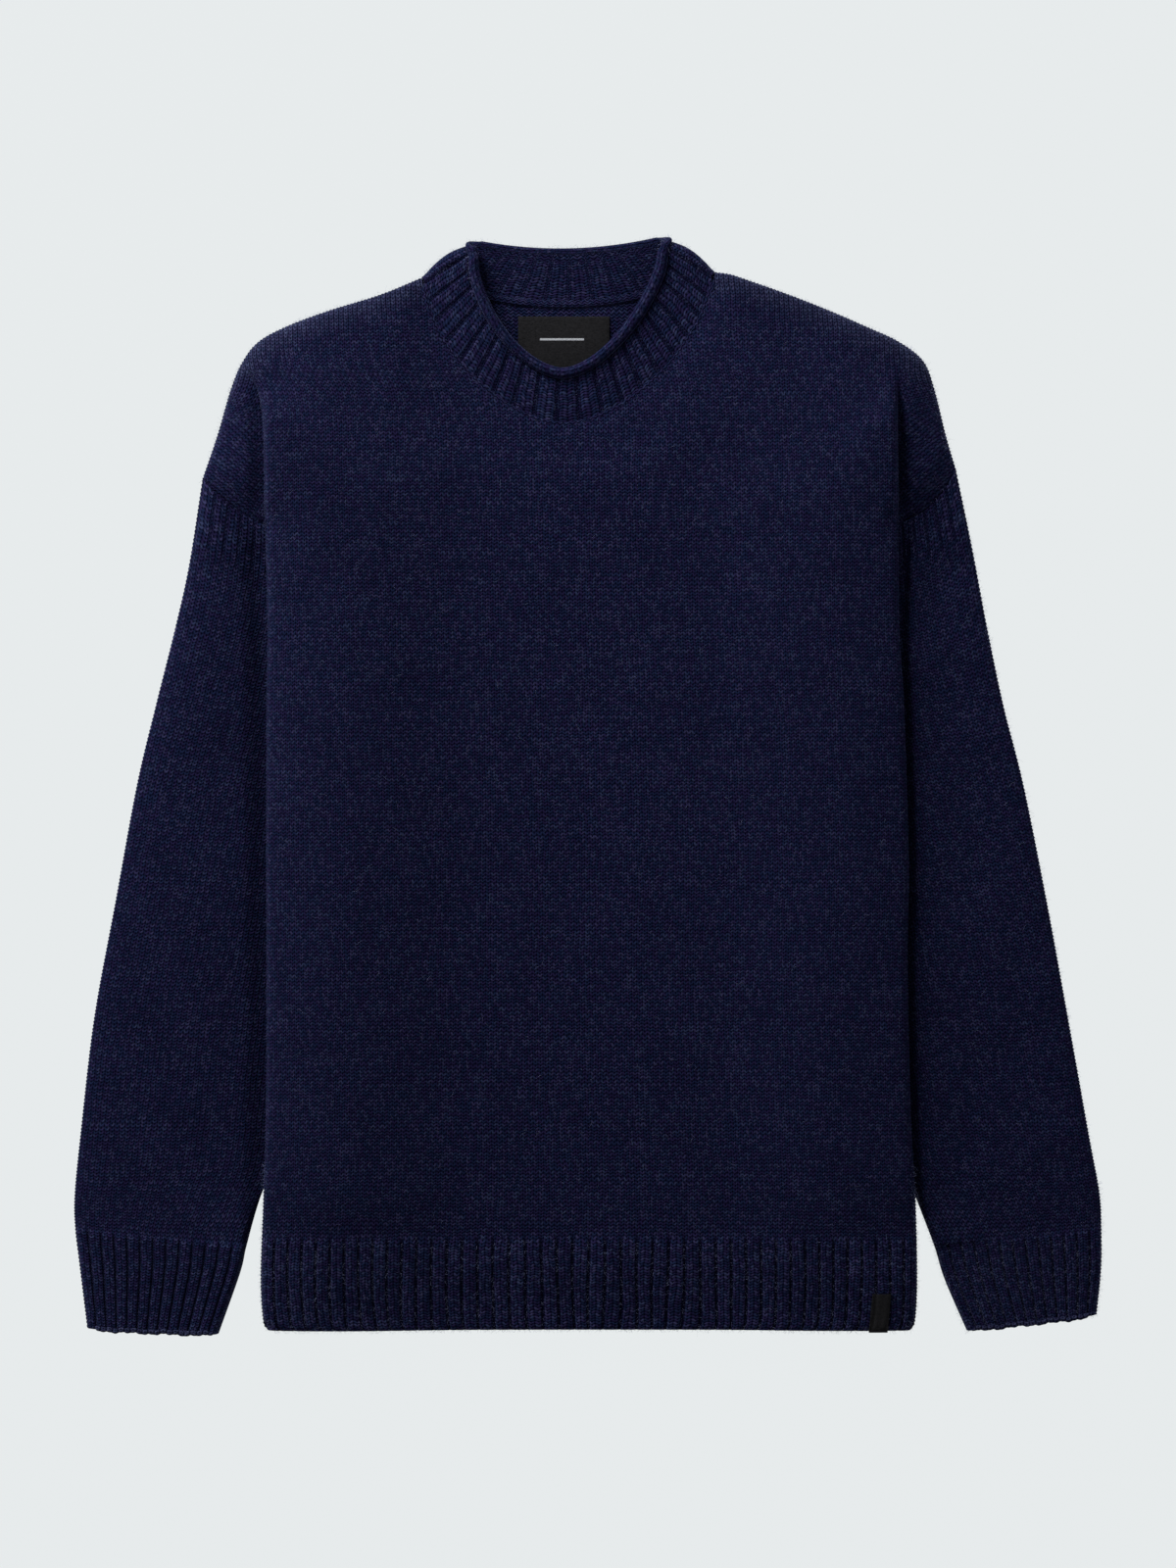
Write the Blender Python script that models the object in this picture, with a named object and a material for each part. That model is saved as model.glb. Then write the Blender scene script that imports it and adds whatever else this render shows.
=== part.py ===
"""A guernsey fisherman sweater, laid flat on its back with the sleeves drawn down under the body's sides.

The frame is in metres: +X to the right of the laid garment, +Y towards the collar, +Z up from the table,
and the origin is on the table under the middle of the whole outline. The wearer's right is at -X.
"""
import math

import bmesh
import bpy
from mathutils import Vector
from mathutils.geometry import delaunay_2d_cdt

MM = 0.001

# Cloth
WALL = 3.0 * MM            # thickness of the heavy wool knit
HOLLOW = 2.2 * MM          # air left between the two layers of a flattened tube
TUBE = 2 * WALL + HOLLOW   # height of a flattened tube, and twice the radius of its folded edges
FOLD = TUBE / 2
SEAM_GAP = 0.3 * MM
PUFF = 1.2 * MM            # how far the front stands up off the back, away from its edges
PUFF_WIDTH = 45 * MM

# Body, from the hem to the shoulders
HEM_Y = -344.4 * MM
HEM_CORNER_STEPS = (0.0, 2.9 * MM, 6.4 * MM, 14.4 * MM)   # points up the side from the hem's round corner
SIDE_STEP = 23 * MM        # and on up to the seam
HEM_RIB_TOP_Y = -290.0 * MM
HEM_RIB_FADE_Y = -283.0 * MM
HEM_RIBS = 44
RIB_RISE = 1.2 * MM
RIB_SHAPE = ((0.0, 0.0), (0.18, 0.75), (0.5, 1.0), (0.82, 0.75), (1.0, 0.0))   # share of pitch, of rise
RIB_MARKS = [share for share, _ in RIB_SHAPE[:-1]]
SIDE_LIFT = 8.5 * MM       # the sides lie on the sleeves, a tube and a gap high
SIDE_SWELL = 2.0 * MM      # and swell a little over the layers that are turned under there
SWELL_WIDTH = 35 * MM
TURNED_UNDER = 45 * MM     # from the edge inwards, the full height of those layers
TURNED_SLOPE = 85 * MM     # and the long slope in which they end
HEM_LIFT_SHARE = 0.7       # the hem has only the turned layers under its sides, and no sleeve
LIFT_FULL_Y = -250 * MM
LIFT_HEM_Y = -300 * MM
CORNER_Y = 168 * MM        # where the drop-shoulder seam goes under the side edge
CREASE_TOP_Y = 262 * MM    # where the crease above that corner fades out
CREASE_ROUND = 5 * MM
CREASE_DEPTHS = [depth * MM for depth in (-7, -1.5, 0.0, 1.2, 3.0, 5.5, 14)]   # its lines, from the edge in
CREASE_ROWS = 7
ROOM_CLEARANCE = 2 * MM    # the room under a side for the sleeve: past the sleeve's edge, then its step
ROOM_STEP = 8 * MM
ROOM_RAMP = 10 * MM
ROOM_ROWS = 18
RAMP_X = [x * MM for x in (181, 186, 191)]
GRID = 32 * MM             # spacing of the points inside a panel
GRID_ROWS = 22
PANEL_OUTER_INSETS = (1.2 * MM, FOLD, 12 * MM)   # rows of points along the folds, outside
PANEL_INNER_INSETS = (WALL, FOLD, 12 * MM)       # and inside
BORDER_CLEAR = 0.6 * MM    # no inner point is nearer than this to the outline
PLAIN_HEM_SPANS = 16
FINE = 400                 # samples of a curve before it is cut into even steps
TOLERANCE = 0.01 * MM

# Side edges of the body as it lies, from the hem up: y, x at the wearer's right, x at the wearer's left
SIDE_EDGES = (
    (-344.4, -202.8, 204.0),
    (-338.0, -205.6, 207.0),
    (-310.0, -207.1, 208.3),
    (-260.0, -205.2, 207.0),
    (-50.0, -206.5, 206.5),
    (50.0, -206.5, 203.0),
    (100.0, -206.5, 200.0),
    (168.0, -206.5, 198.0),
    (262.0, -209.0, 195.0),
)

# Shoulder edges, from the neck to the drop-shoulder seam: x, y
SHOULDER_RIGHT = (
    (-105.0, 322.0), (-132.0, 311.0), (-164.3, 301.0), (-191.0, 291.0), (-208.9, 281.2),
    (-219.0, 268.5), (-226.3, 251.4), (-235.0, 221.7), (-244.3, 194.4),
)
SHOULDER_LEFT = (
    (80.0, 322.0), (100.0, 320.5), (127.7, 311.0), (153.1, 301.0), (176.1, 291.0), (197.2, 281.2),
    (212.5, 269.0), (219.5, 251.4), (226.9, 221.7), (233.1, 200.6),
)

# Sleeves, from the drop-shoulder seam to the cuff's end. Each row is one section across the flattened
# sleeve: outer x, outer y, inner x, inner y, sag of the section towards the cuff
SLEEVE_RIGHT = (
    (-244.3, 194.4, -178.0, 152.0, 6.5),
    (-252.8, 140.0, -176.0, 112.0, 5.0),
    (-261.6, 100.0, -175.0, 78.0, 3.0),
    (-274.0, 50.5, -174.0, 36.0, 2.0),
    (-285.8, 0.9, -174.0, -8.0, 1.0),
    (-299.5, -73.5, -176.0, -80.0, 1.0),
    (-313.1, -147.9, -181.0, -152.0, 1.0),
    (-321.8, -222.3, -193.0, -222.0, 1.0),
    (-325.4, -260.0, -206.0, -262.0, 1.0),
    (-325.0, -281.0, -216.4, -291.7, 1.0),
    (-322.4, -303.0, -220.5, -309.0, 1.0),
    (-317.4, -343.8, -234.0, -347.2, 0.3),
)
SLEEVE_LEFT = (
    (233.1, 200.6, 178.0, 156.0, 10.5),
    (243.6, 150.0, 176.0, 118.0, 7.0),
    (253.0, 100.0, 175.0, 80.0, 3.0),
    (263.5, 50.0, 174.0, 36.0, 2.0),
    (275.9, 0.9, 174.0, -8.0, 1.0),
    (290.8, -73.5, 176.0, -80.0, 1.0),
    (304.4, -148.0, 181.0, -152.0, 1.0),
    (317.6, -222.0, 194.0, -224.0, 1.0),
    (324.2, -258.0, 208.5, -263.0, 1.0),
    (325.4, -281.0, 219.5, -292.0, 1.0),
    (325.2, -307.0, 226.0, -313.0, 1.0),
    (322.4, -335.0, 240.0, -345.3, 0.5),
)
SAG_PEAK = (1.0, 2.0)      # powers that put a section's lowest place near its outer third
CUFF_ROW = 9               # the row at which the cuff's rib starts
CUFF_RIBS = 13
BAND_ROW = 1               # the row at which the rib band at the top of the sleeve ends
BAND_RIBS = 8
BAND_RISE = 0.8 * MM
SLEEVE_DOME = 1.2 * MM
DOME_REACH = 0.92          # share of the width in sight over which the sleeve's top is domed
TUBE_OUTER_INSETS = (0.0, 1.2 * MM, FOLD)                    # points that round a sleeve's fold outside
TUBE_INNER_INSETS = (WALL, WALL + 0.5 * MM, WALL + 1.6 * MM)      # and inside
TUBE_MIDDLE = (0.25, 0.5, 0.75)                              # and shares of the width between them

# Collar: the seam to the body and the rolled edge are two U-shaped arcs on the front. Each has a centre
# x, half width, y of its ends, depth and the power of its superellipse
NECK_SEAM = dict(centre=-12.5 * MM, half=92.5 * MM, top=322.0 * MM, depth=94.0 * MM, power=1.7)
COLLAR_EDGE = dict(centre=-12.2 * MM, half=58.2 * MM, top=342.6 * MM, depth=78.2 * MM, power=1.67)
NECK_BACK_DIP = 18.7 * MM  # how far the back neck seam hangs below the line between its ends
EDGE_BACK_DIP = 0.6 * MM
COLLAR_RIBS = 19
COLLAR_RIB_RISE = 1.2 * MM
COLLAR_RIB_START = 0.4     # share of that rise at the seam
COLLAR_RIB_FULL = 0.2      # share of the collar's height at which they have all of it
COLLAR_BACK_POINTS = 14
COLLAR_TURNS = (30, 60, 90, 120, 150)       # degrees round its two side folds
# Marks along the collar's ring, which runs from 0 to 2: the front, a side fold, the back, the other fold
FRONT_END, BACK_START, BACK_END, RING_END = 1.0, 1.2, 1.8, 2.0
COLLAR_SEAM_LEVELS = (6.7 * MM, 1.5 * MM)   # heights of the front and back layers at the seam
COLLAR_EDGE_LEVELS = (9.3 * MM, 4.7 * MM)   # and at the rolled edge
ROLL_RADIUS = 3.0 * MM
ROLL_SIDES = 8
ROLL_FOOT = 2.4            # radii from the rolled edge at which the ribs end

# Trim
LABEL_X = (-44.3 * MM, 13.6 * MM)
LABEL_Y = (259.0 * MM, 297.3 * MM)
LABEL_THICKNESS = 0.8 * MM
LABEL_SPANS = (4, 2)
TAB_SPANS = 2
TAB_X = 184.3 * MM
TAB_WIDTH = 11.6 * MM
TAB_TOP_Y = -321.0 * MM
TAB_THICKNESS = 1.0 * MM
TAB_LEAN = 0.09            # sideways for each unit up

NAVY = (0.0105, 0.0125, 0.040, 1.0)
WOVEN_BLACK = (0.012, 0.012, 0.014, 1.0)
WOOL_ROUGHNESS = 0.92
WOVEN_ROUGHNESS = 0.7
SHARP_ANGLE = math.radians(50)


def clear_scene():
    for old in list(bpy.data.objects):
        bpy.data.objects.remove(old, do_unlink=True)


def smooth(t):
    t = min(max(t, 0.0), 1.0)
    return t * t * (3 - 2 * t)


def quarter_round(distance, radius):
    """Height share of a rounded edge: 0 at the edge, 1 from one radius inwards."""
    inward = min(max(distance / radius, 0.0), 1.0)
    return math.sqrt(1 - (1 - inward) ** 2)


def interpolate(value, table):
    """Linear interpolation in rows of (key, value), keys rising."""
    if value <= table[0][0]:
        return table[0][1]
    for (low, a), (high, b) in zip(table, table[1:]):
        if value <= high:
            return a + (b - a) * (value - low) / (high - low)
    return table[-1][1]


def resample(points, count):
    """A polyline's shape in count + 1 points, evenly spaced along it."""
    lengths = [0.0]
    for a, b in zip(points, points[1:]):
        lengths.append(lengths[-1] + (b - a).length)
    spaced = []
    for step in range(count + 1):
        along = lengths[-1] * step / count
        part = max(i for i in range(len(points) - 1) if lengths[i] <= along + 1e-12)
        share = (along - lengths[part]) / (lengths[part + 1] - lengths[part])
        spaced.append(points[part].lerp(points[part + 1], min(share, 1.0)))
    return spaced


def smooth_curve(rows, steps):
    """A Catmull-Rom curve through rows of (x, y) in millimetres, each span cut into steps."""
    points = [Vector(row) * MM for row in rows]
    points = [points[0] * 2 - points[1]] + points + [points[-1] * 2 - points[-2]]
    curve = []
    for a, b, c, d in zip(points, points[1:], points[2:], points[3:]):
        for step in range(steps):
            t = step / steps
            curve.append(((b * 2) + (c - a) * t + (a * 2 - b * 5 + c * 4 - d) * t * t
                          + (b * 3 - a - c * 3 + d) * t ** 3) / 2)
    return curve + [points[-2]]


def u_arc(shape, count, inset=0.0):
    """The U of a superellipse, from its -X end down and round to its +X end."""
    raw = []
    for step in range(FINE + 1):
        angle = math.pi * step / FINE
        power = 2 / shape["power"]
        across = math.copysign(abs(math.cos(angle)) ** power, math.cos(angle))
        down = math.sin(angle) ** power if 0 < step < FINE else 0.0
        raw.append(Vector((shape["centre"] - (shape["half"] - inset) * across,
                           shape["top"] + inset - shape["depth"] * down)))
    return resample(raw, count)


def distance_to_lines(point, lines):
    nearest = 1.0
    for line in lines:
        for a, b in zip(line, line[1:]):
            along = b - a
            share = min(max((point - a).dot(along) / along.length_squared, 0.0), 1.0)
            nearest = min(nearest, (point - a - along * share).length)
    return nearest


def is_inside(point, outline):
    crossings = False
    for a, b in zip(outline, outline[1:] + outline[:1]):
        if (a.y > point.y) != (b.y > point.y):
            if point.x < a.x + (b.x - a.x) * (point.y - a.y) / (b.y - a.y):
                crossings = not crossings
    return crossings


def side_edge(side, y):
    """x of the body's side edge at y, side -1 for the wearer's right and 1 for the left."""
    column = 1 if side < 0 else 2
    return interpolate(y / MM, [(row[0], row[column]) for row in SIDE_EDGES]) * MM


def section_point(row, across):
    """A place across one section of a sleeve, 0 at its outer fold and 1 at its inner one."""
    outer_x, outer_y, inner_x, inner_y, sag = row
    rise, fall = SAG_PEAK
    peak = rise / (rise + fall)
    shape = across ** rise * (1 - across) ** fall / (peak ** rise * (1 - peak) ** fall)
    return Vector((outer_x + (inner_x - outer_x) * across,
                   outer_y + (inner_y - outer_y) * across - sag * shape)) * MM


def seam_row(side):
    return (SLEEVE_RIGHT if side < 0 else SLEEVE_LEFT)[0]


def seam_point(side, across, offset=0.0):
    """A place on the drop-shoulder seam, moved by offset towards the cuff."""
    row = seam_row(side)
    ahead = section_point(row, min(across + 0.01, 1.0)) - section_point(row, max(across - 0.01, 0.0))
    towards_cuff = Vector((ahead.y, -ahead.x)) * (1 if ahead.x > 0 else -1)
    return section_point(row, across) + towards_cuff.normalized() * offset


def section_width(row):
    return (Vector((row[2], row[3])) - Vector((row[0], row[1]))).length * MM


def near_edge(row, insets):
    return [inset / section_width(row) for inset in insets]


def rib_shares(row, ribs, insets):
    """Shares across a section for the points of its ribs, with those of its two rounded folds."""
    near = near_edge(row, insets)
    marks = [(rib + mark) / ribs for rib in range(ribs) for mark in RIB_MARKS]
    return near + [m for m in marks if near[-1] < m < 1 - near[-1]] + [1 - m for m in reversed(near)]


def corner_share(side):
    """How far along the seam it reaches the body's side edge."""
    for step in range(FINE + 1):
        here = seam_point(side, step / FINE)
        if side * (side_edge(side, here.y) - here.x) >= 0:
            return step / FINE
    return 1.0


def seam_y(side, x):
    """y of the seam's line at x, under the body too."""
    line = sorted((tuple(seam_point(side, step / 24)) for step in range(25)), key=lambda p: p[0])
    return interpolate(x, line)


def overlap(side, y):
    """How far the sleeve's inner fold lies inside the body's side edge at y."""
    rows = SLEEVE_RIGHT if side < 0 else SLEEVE_LEFT
    inner = interpolate(y / MM, sorted((row[3], row[2]) for row in rows)) * MM
    return side * (side_edge(side, y) - inner)


def inward(side, x, y):
    """Distance from the body's side edge towards its middle."""
    return side * (side_edge(side, y) - x)


def lift(x, y):
    """How far the layers under a side of the body raise it."""
    side = -1 if x < (side_edge(-1, y) + side_edge(1, y)) / 2 else 1
    depth = inward(side, x, y)
    if depth < -TOLERANCE:
        return 0.0
    towards_hem = smooth((LIFT_FULL_Y - y) / (LIFT_FULL_Y - LIFT_HEM_Y))
    towards_neck = smooth((y - CORNER_Y) / (CREASE_TOP_Y - CORNER_Y))
    along = (1 - (1 - HEM_LIFT_SHARE) * towards_hem) * (1 - towards_neck)
    across = 1 - smooth((depth - TURNED_UNDER) / TURNED_SLOPE)
    height = (SIDE_LIFT + SIDE_SWELL * smooth(depth / SWELL_WIDTH)) * across * along
    if y > CORNER_Y + SEAM_GAP:
        height *= quarter_round(depth, CREASE_ROUND)
    return height


def sleeve_room(x, y):
    """Height of the room under the body's side in which the sleeve lies."""
    side = -1 if x < 0 else 1
    depth = inward(side, x, y)
    if depth < -TOLERANCE:
        return 0.0
    across = 1 - smooth((depth - overlap(side, y) - ROOM_CLEARANCE) / ROOM_STEP)
    along = smooth((seam_y(side, x) + ROOM_RAMP - y) / ROOM_RAMP)
    return SIDE_LIFT * across * along


def rib_height(share):
    """Height share across one rib, from 0 to 1 of its pitch: a broad ridge between narrow furrows."""
    return interpolate(share % 1.0, RIB_SHAPE)


class Body:
    """The outlines of front and back as they lie, and the heights of their faces."""

    def __init__(self):
        self.sides = {}
        self.shoulders = {}
        self.seams = {}
        for side, rows in ((-1, SHOULDER_RIGHT), (1, SHOULDER_LEFT)):
            corner = corner_share(side)
            self.shoulders[side] = smooth_curve(rows, 2)
            self.sides[side] = self.side_points(side, seam_point(side, corner).y)
            shares = rib_shares(seam_row(side), BAND_RIBS, TUBE_OUTER_INSETS)
            self.seams[side] = [seam_point(side, share, -SEAM_GAP / 2)
                                for share in shares if 0 < share < corner - 0.005]
        self.folds = list(self.sides.values()) + list(self.shoulders.values())
        self.open_edges = []

    def side_points(self, side, top_y):
        ys = [HEM_Y + step for step in HEM_CORNER_STEPS]
        low = ys[-1]
        count = round((top_y - low) / SIDE_STEP)
        ys += [low + (top_y - low) * i / count for i in range(1, count + 1)]
        return [Vector((side_edge(side, y), y)) for y in ys]

    def outline(self, hem_inner, neck):
        """Counter-clockwise from the hem's -X corner, with the flags of the folded points."""
        hem = [Vector((x, HEM_Y)) for x in hem_inner]
        stretches = (
            (self.sides[-1][:1], True), (hem, False), (self.sides[1], True),
            (self.seams[1][::-1], False), (self.shoulders[1][::-1], True), (neck, False),
            (self.shoulders[-1], True), (self.seams[-1], False), (self.sides[-1][:0:-1], True),
        )
        points = [p for stretch, _ in stretches for p in stretch]
        folded = [flag for stretch, flag in stretches for _ in stretch]
        return points, folded

    def front_top(self, x, y):
        point = Vector((x, y))
        rounding = (FOLD - SEAM_GAP / 2) * quarter_round(distance_to_lines(point, self.folds), FOLD)
        return FOLD + SEAM_GAP / 2 + lift(x, y) + rounding + self.puff(point)

    def front_under(self, x, y):
        point = Vector((x, y))
        distance = distance_to_lines(point, self.folds) - WALL
        rounding = (HOLLOW - SEAM_GAP) / 2 * quarter_round(distance, FOLD - WALL)
        return FOLD + SEAM_GAP / 2 + lift(x, y) + rounding + self.puff(point)

    def back_top(self, x, y):
        distance = distance_to_lines(Vector((x, y)), self.folds) - WALL
        rounding = (HOLLOW - SEAM_GAP) / 2 * quarter_round(distance, FOLD - WALL)
        return FOLD - SEAM_GAP / 2 + lift(x, y) - rounding

    def back_under(self, x, y):
        room = sleeve_room(x, y)
        height = FOLD - SEAM_GAP / 2 + lift(x, y) - room
        return room + height * (1 - quarter_round(distance_to_lines(Vector((x, y)), self.folds), FOLD))

    def puff(self, point):
        return PUFF * smooth(distance_to_lines(point, self.folds + self.open_edges) / PUFF_WIDTH)


def inner_points(outline, folds, insets, lines, lowest):
    """Points for the inside of a panel, and the edges that its triangles must keep.

    The lines come first, as kept edges. At each inset a row of points follows the folds, each one square
    to a point of the fold, and a grid fills the rest. Rows and grid stay above the lowest y.
    """
    points = []
    edges = []
    places = {place_key(p): i for i, p in enumerate(outline)}
    border = [outline + outline[:1]]

    def line_place(point):
        key = place_key(point)
        if key not in places:
            if not is_inside(point, outline) or distance_to_lines(point, border) < BORDER_CLEAR:
                return None
            places[key] = len(outline) + len(points)
            points.append(point)
        return places[key]

    def add(point, clear_of_folds, clear_of_points):
        if point.y < lowest or not is_inside(point, outline):
            return
        if distance_to_lines(point, folds) < clear_of_folds:
            return
        if distance_to_lines(point, border) < BORDER_CLEAR:
            return
        if all((point - other).length > clear_of_points for other in points):
            points.append(point)

    def square_to(a, b):
        return Vector((b.y - a.y, a.x - b.x)).normalized()

    for line in lines:
        ids = [line_place(point) for point in line]
        edges += [(a, b) for a, b in zip(ids, ids[1:]) if None not in (a, b)]
    for inset in insets:
        for fold in folds:
            for before, here, after in zip(fold, fold[1:], fold[2:]):
                normal = square_to(before, after) * inset
                for sign in (-1, 1):
                    add(here + normal * sign, inset * 0.9, min(inset, 3 * MM))
    for row in range(GRID_ROWS):
        for column in range(-GRID_ROWS, GRID_ROWS):
            point = Vector(((column + 0.5 * (row % 2)) * GRID, HEM_Y + row * GRID))
            add(point, max(insets) * 1.5, GRID * 0.45)
    return points, edges


def place_key(point):
    return round(point.x / MM, 3), round(point.y / MM, 3)


def triangles_over(points, edges, boundary_count):
    """Counter-clockwise triangles over points whose first boundary_count are the outline."""
    result = delaunay_2d_cdt(points, edges, [list(range(boundary_count))], 1, 1e-7)
    source = [ids[0] for ids in result[3]]
    faces = []
    for face in result[2]:
        a, b, c = (source[v] for v in face)
        turn = (points[b] - points[a]).cross(points[c] - points[a])
        faces.append((a, b, c) if turn > 0 else (a, c, b))
    return faces


def make_object(name, mesh_points, faces, colour, roughness):
    mesh = bpy.data.meshes.new(name)
    mesh.from_pydata([tuple(p) for p in mesh_points], [], faces)
    work = bmesh.new()
    work.from_mesh(mesh)
    bmesh.ops.recalc_face_normals(work, faces=work.faces)
    work.to_mesh(mesh)
    work.free()
    mesh.shade_smooth()
    mesh.set_sharp_from_angle(angle=SHARP_ANGLE)
    material = bpy.data.materials.new(name)
    material.use_nodes = True
    shader = material.node_tree.nodes["Principled BSDF"]
    shader.inputs["Base Color"].default_value = colour
    shader.inputs["Roughness"].default_value = roughness
    shader.inputs["Metallic"].default_value = 0.0
    mesh.materials.append(material)
    made = bpy.data.objects.new(name, mesh)
    bpy.context.scene.collection.objects.link(made)
    return made


def panel(name, outline, folded, top, under, top_inner, under_inner):
    """A closed sheet of the knit over an outline. At a folded edge its two faces meet in one line."""
    mesh_points = []
    faces = []

    def add_face(height, inside):
        inner, edges = inside
        flat = outline + inner
        ids = []
        for p in flat:
            ids.append(len(mesh_points))
            mesh_points.append(Vector((p.x, p.y, height(p.x, p.y))))
        return ids, triangles_over(flat, edges, len(outline))

    top_ids, top_faces = add_face(top, top_inner)
    under_ids, under_faces = add_face(under, under_inner)
    for i, is_folded in enumerate(folded):
        if is_folded:
            under_ids[i] = top_ids[i]
    faces += [[top_ids[v] for v in face] for face in top_faces]
    faces += [[under_ids[v] for v in reversed(face)] for face in under_faces]
    count = len(outline)
    for i in range(count):
        j = (i + 1) % count
        rim = [under_ids[i], under_ids[j], top_ids[j], top_ids[i]]
        rim = [v for at, v in enumerate(rim) if v not in rim[:at]]
        if len(rim) > 2:
            faces.append(rim)
    return make_object(name, mesh_points, faces, NAVY, WOOL_ROUGHNESS)


def zip_loops(mesh_ids_a, marks_a, mesh_ids_b, marks_b, period):
    """Triangles between two closed loops of unlike counts, matched by their marks along the loop."""
    faces = []
    i = j = 0
    count_a, count_b = len(mesh_ids_a), len(mesh_ids_b)
    while i < count_a or j < count_b:
        next_a = marks_a[i + 1] if i + 1 < count_a else period + marks_a[0]
        next_b = marks_b[j + 1] if j + 1 < count_b else period + marks_b[0]
        a, b = mesh_ids_a[i % count_a], mesh_ids_b[j % count_b]
        if j >= count_b or (i < count_a and next_a <= next_b):
            faces.append((a, mesh_ids_a[(i + 1) % count_a], b))
            i += 1
        else:
            faces.append((a, mesh_ids_b[(j + 1) % count_b], b))
            j += 1
    return faces


def loops_object(name, loops, period):
    """A closed skin of the knit through loops of (mark, point), the last one joined to the first."""
    mesh_points = []
    ids = []
    for loop in loops:
        ids.append(range(len(mesh_points), len(mesh_points) + len(loop)))
        mesh_points += [p for _, p in loop]
    faces = []
    for at in range(len(loops)):
        following = (at + 1) % len(loops)
        faces += zip_loops(ids[at], [m for m, _ in loops[at]],
                           ids[following], [m for m, _ in loops[following]], period)
    return make_object(name, mesh_points, faces, NAVY, WOOL_ROUGHNESS)


def crease_lines():
    """Lines along the crease at each side of the chest, above the corner where the sleeve begins."""
    lines = []
    for side in (-1, 1):
        for depth in CREASE_DEPTHS:
            ys = [CORNER_Y + (CREASE_TOP_Y - CORNER_Y) * (row + 0.4) / (CREASE_ROWS - 0.4)
                  for row in range(CREASE_ROWS)]
            lines.append([Vector((side_edge(side, y) - side * depth, y)) for y in ys])
    return lines


def room_lines():
    """Lines along the step that ends the room for each sleeve, and along its ramp under the seam."""
    lines = []
    for side in (-1, 1):
        top = CORNER_Y - 2 * ROOM_STEP
        ys = [LIFT_FULL_Y + (top - LIFT_FULL_Y) * row / (ROOM_ROWS - 1) for row in range(ROOM_ROWS)]
        for depth in (0.0, ROOM_STEP / 4, ROOM_STEP / 2, ROOM_STEP):
            lines.append([Vector((side_edge(side, y) - side * (overlap(side, y) + ROOM_CLEARANCE + depth), y))
                          for y in ys])
        for rise in (0.0, ROOM_RAMP / 2, ROOM_RAMP):
            lines.append([Vector((side * x, seam_y(side, side * x) + rise)) for x in RAMP_X])
    return lines


def rib_lines(hem_columns):
    """A line along every raised or sunk line of the hem's ribs, and the line where the ribs end."""
    left, right = side_edge(-1, HEM_RIB_TOP_Y), side_edge(1, HEM_RIB_TOP_Y)
    share_of = [(x - hem_columns[0]) / (hem_columns[-1] - hem_columns[0]) for x in hem_columns]
    tops = [Vector((left + (right - left) * share, HEM_RIB_TOP_Y)) for share in share_of]
    lines = [[Vector((x, HEM_Y)), top] for x, top in zip(hem_columns, tops)][1:-1]
    fade_left, fade_right = side_edge(-1, HEM_RIB_FADE_Y), side_edge(1, HEM_RIB_FADE_Y)
    fades = [Vector((fade_left + (fade_right - fade_left) * rib / HEM_RIBS, HEM_RIB_FADE_Y))
             for rib in range(1, HEM_RIBS)]
    return lines + [tops[1:-1], fades]


def body_panels():
    """Front and back: two sheets that meet along the shoulders and the side folds."""
    body = Body()
    front_neck = u_arc(NECK_SEAM, 2 * COLLAR_RIBS)[::-1][1:-1]
    corners = body.shoulders[1][0], body.shoulders[-1][0]
    back_neck = back_arc(corners[0], corners[1], NECK_BACK_DIP, COLLAR_BACK_POINTS)[1:-1]
    left, right = side_edge(-1, HEM_Y), side_edge(1, HEM_Y)
    rib_columns = [left + (right - left) * (rib + mark) / HEM_RIBS
                   for rib in range(HEM_RIBS) for mark in RIB_MARKS]
    rib_columns.append(right)
    plain_columns = [left + (right - left) * i / PLAIN_HEM_SPANS for i in range(1, PLAIN_HEM_SPANS)]
    creases = crease_lines()

    def ribbed_top(x, y):
        share = (x - side_edge(-1, y)) / (side_edge(1, y) - side_edge(-1, y))
        fade = smooth((HEM_RIB_FADE_Y - y) / (HEM_RIB_FADE_Y - HEM_RIB_TOP_Y))
        return body.front_top(x, y) + RIB_RISE * rib_height(share * HEM_RIBS) * fade

    hem_line = [Vector((left, HEM_Y)), Vector((right, HEM_Y))]
    body.open_edges = [hem_line, front_neck] + list(body.seams.values())
    outline, folded = body.outline(rib_columns[1:-1], front_neck)
    top = inner_points(outline, body.folds, PANEL_OUTER_INSETS, rib_lines(rib_columns) + creases,
                       HEM_RIB_FADE_Y + 6 * MM)
    under = inner_points(outline, body.folds, PANEL_INNER_INSETS, creases, HEM_Y)
    panel("front", outline, folded, ribbed_top, body.front_under, top, under)

    outline, folded = body.outline(plain_columns, back_neck)
    top = inner_points(outline, body.folds, PANEL_INNER_INSETS, creases, HEM_Y)
    under = inner_points(outline, body.folds, PANEL_OUTER_INSETS, creases + room_lines(), HEM_Y)
    panel("back", outline, folded, body.back_top, body.back_under, top, under)
    return body


def back_arc(start, end, dip, count):
    """A shallow hanging arc between two points of the neckline."""
    points = []
    for step in range(count + 1):
        share = step / count
        middle = start.lerp(end, share)
        points.append(middle - Vector((0.0, dip * 4 * share * (1 - share))))
    return points


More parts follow.
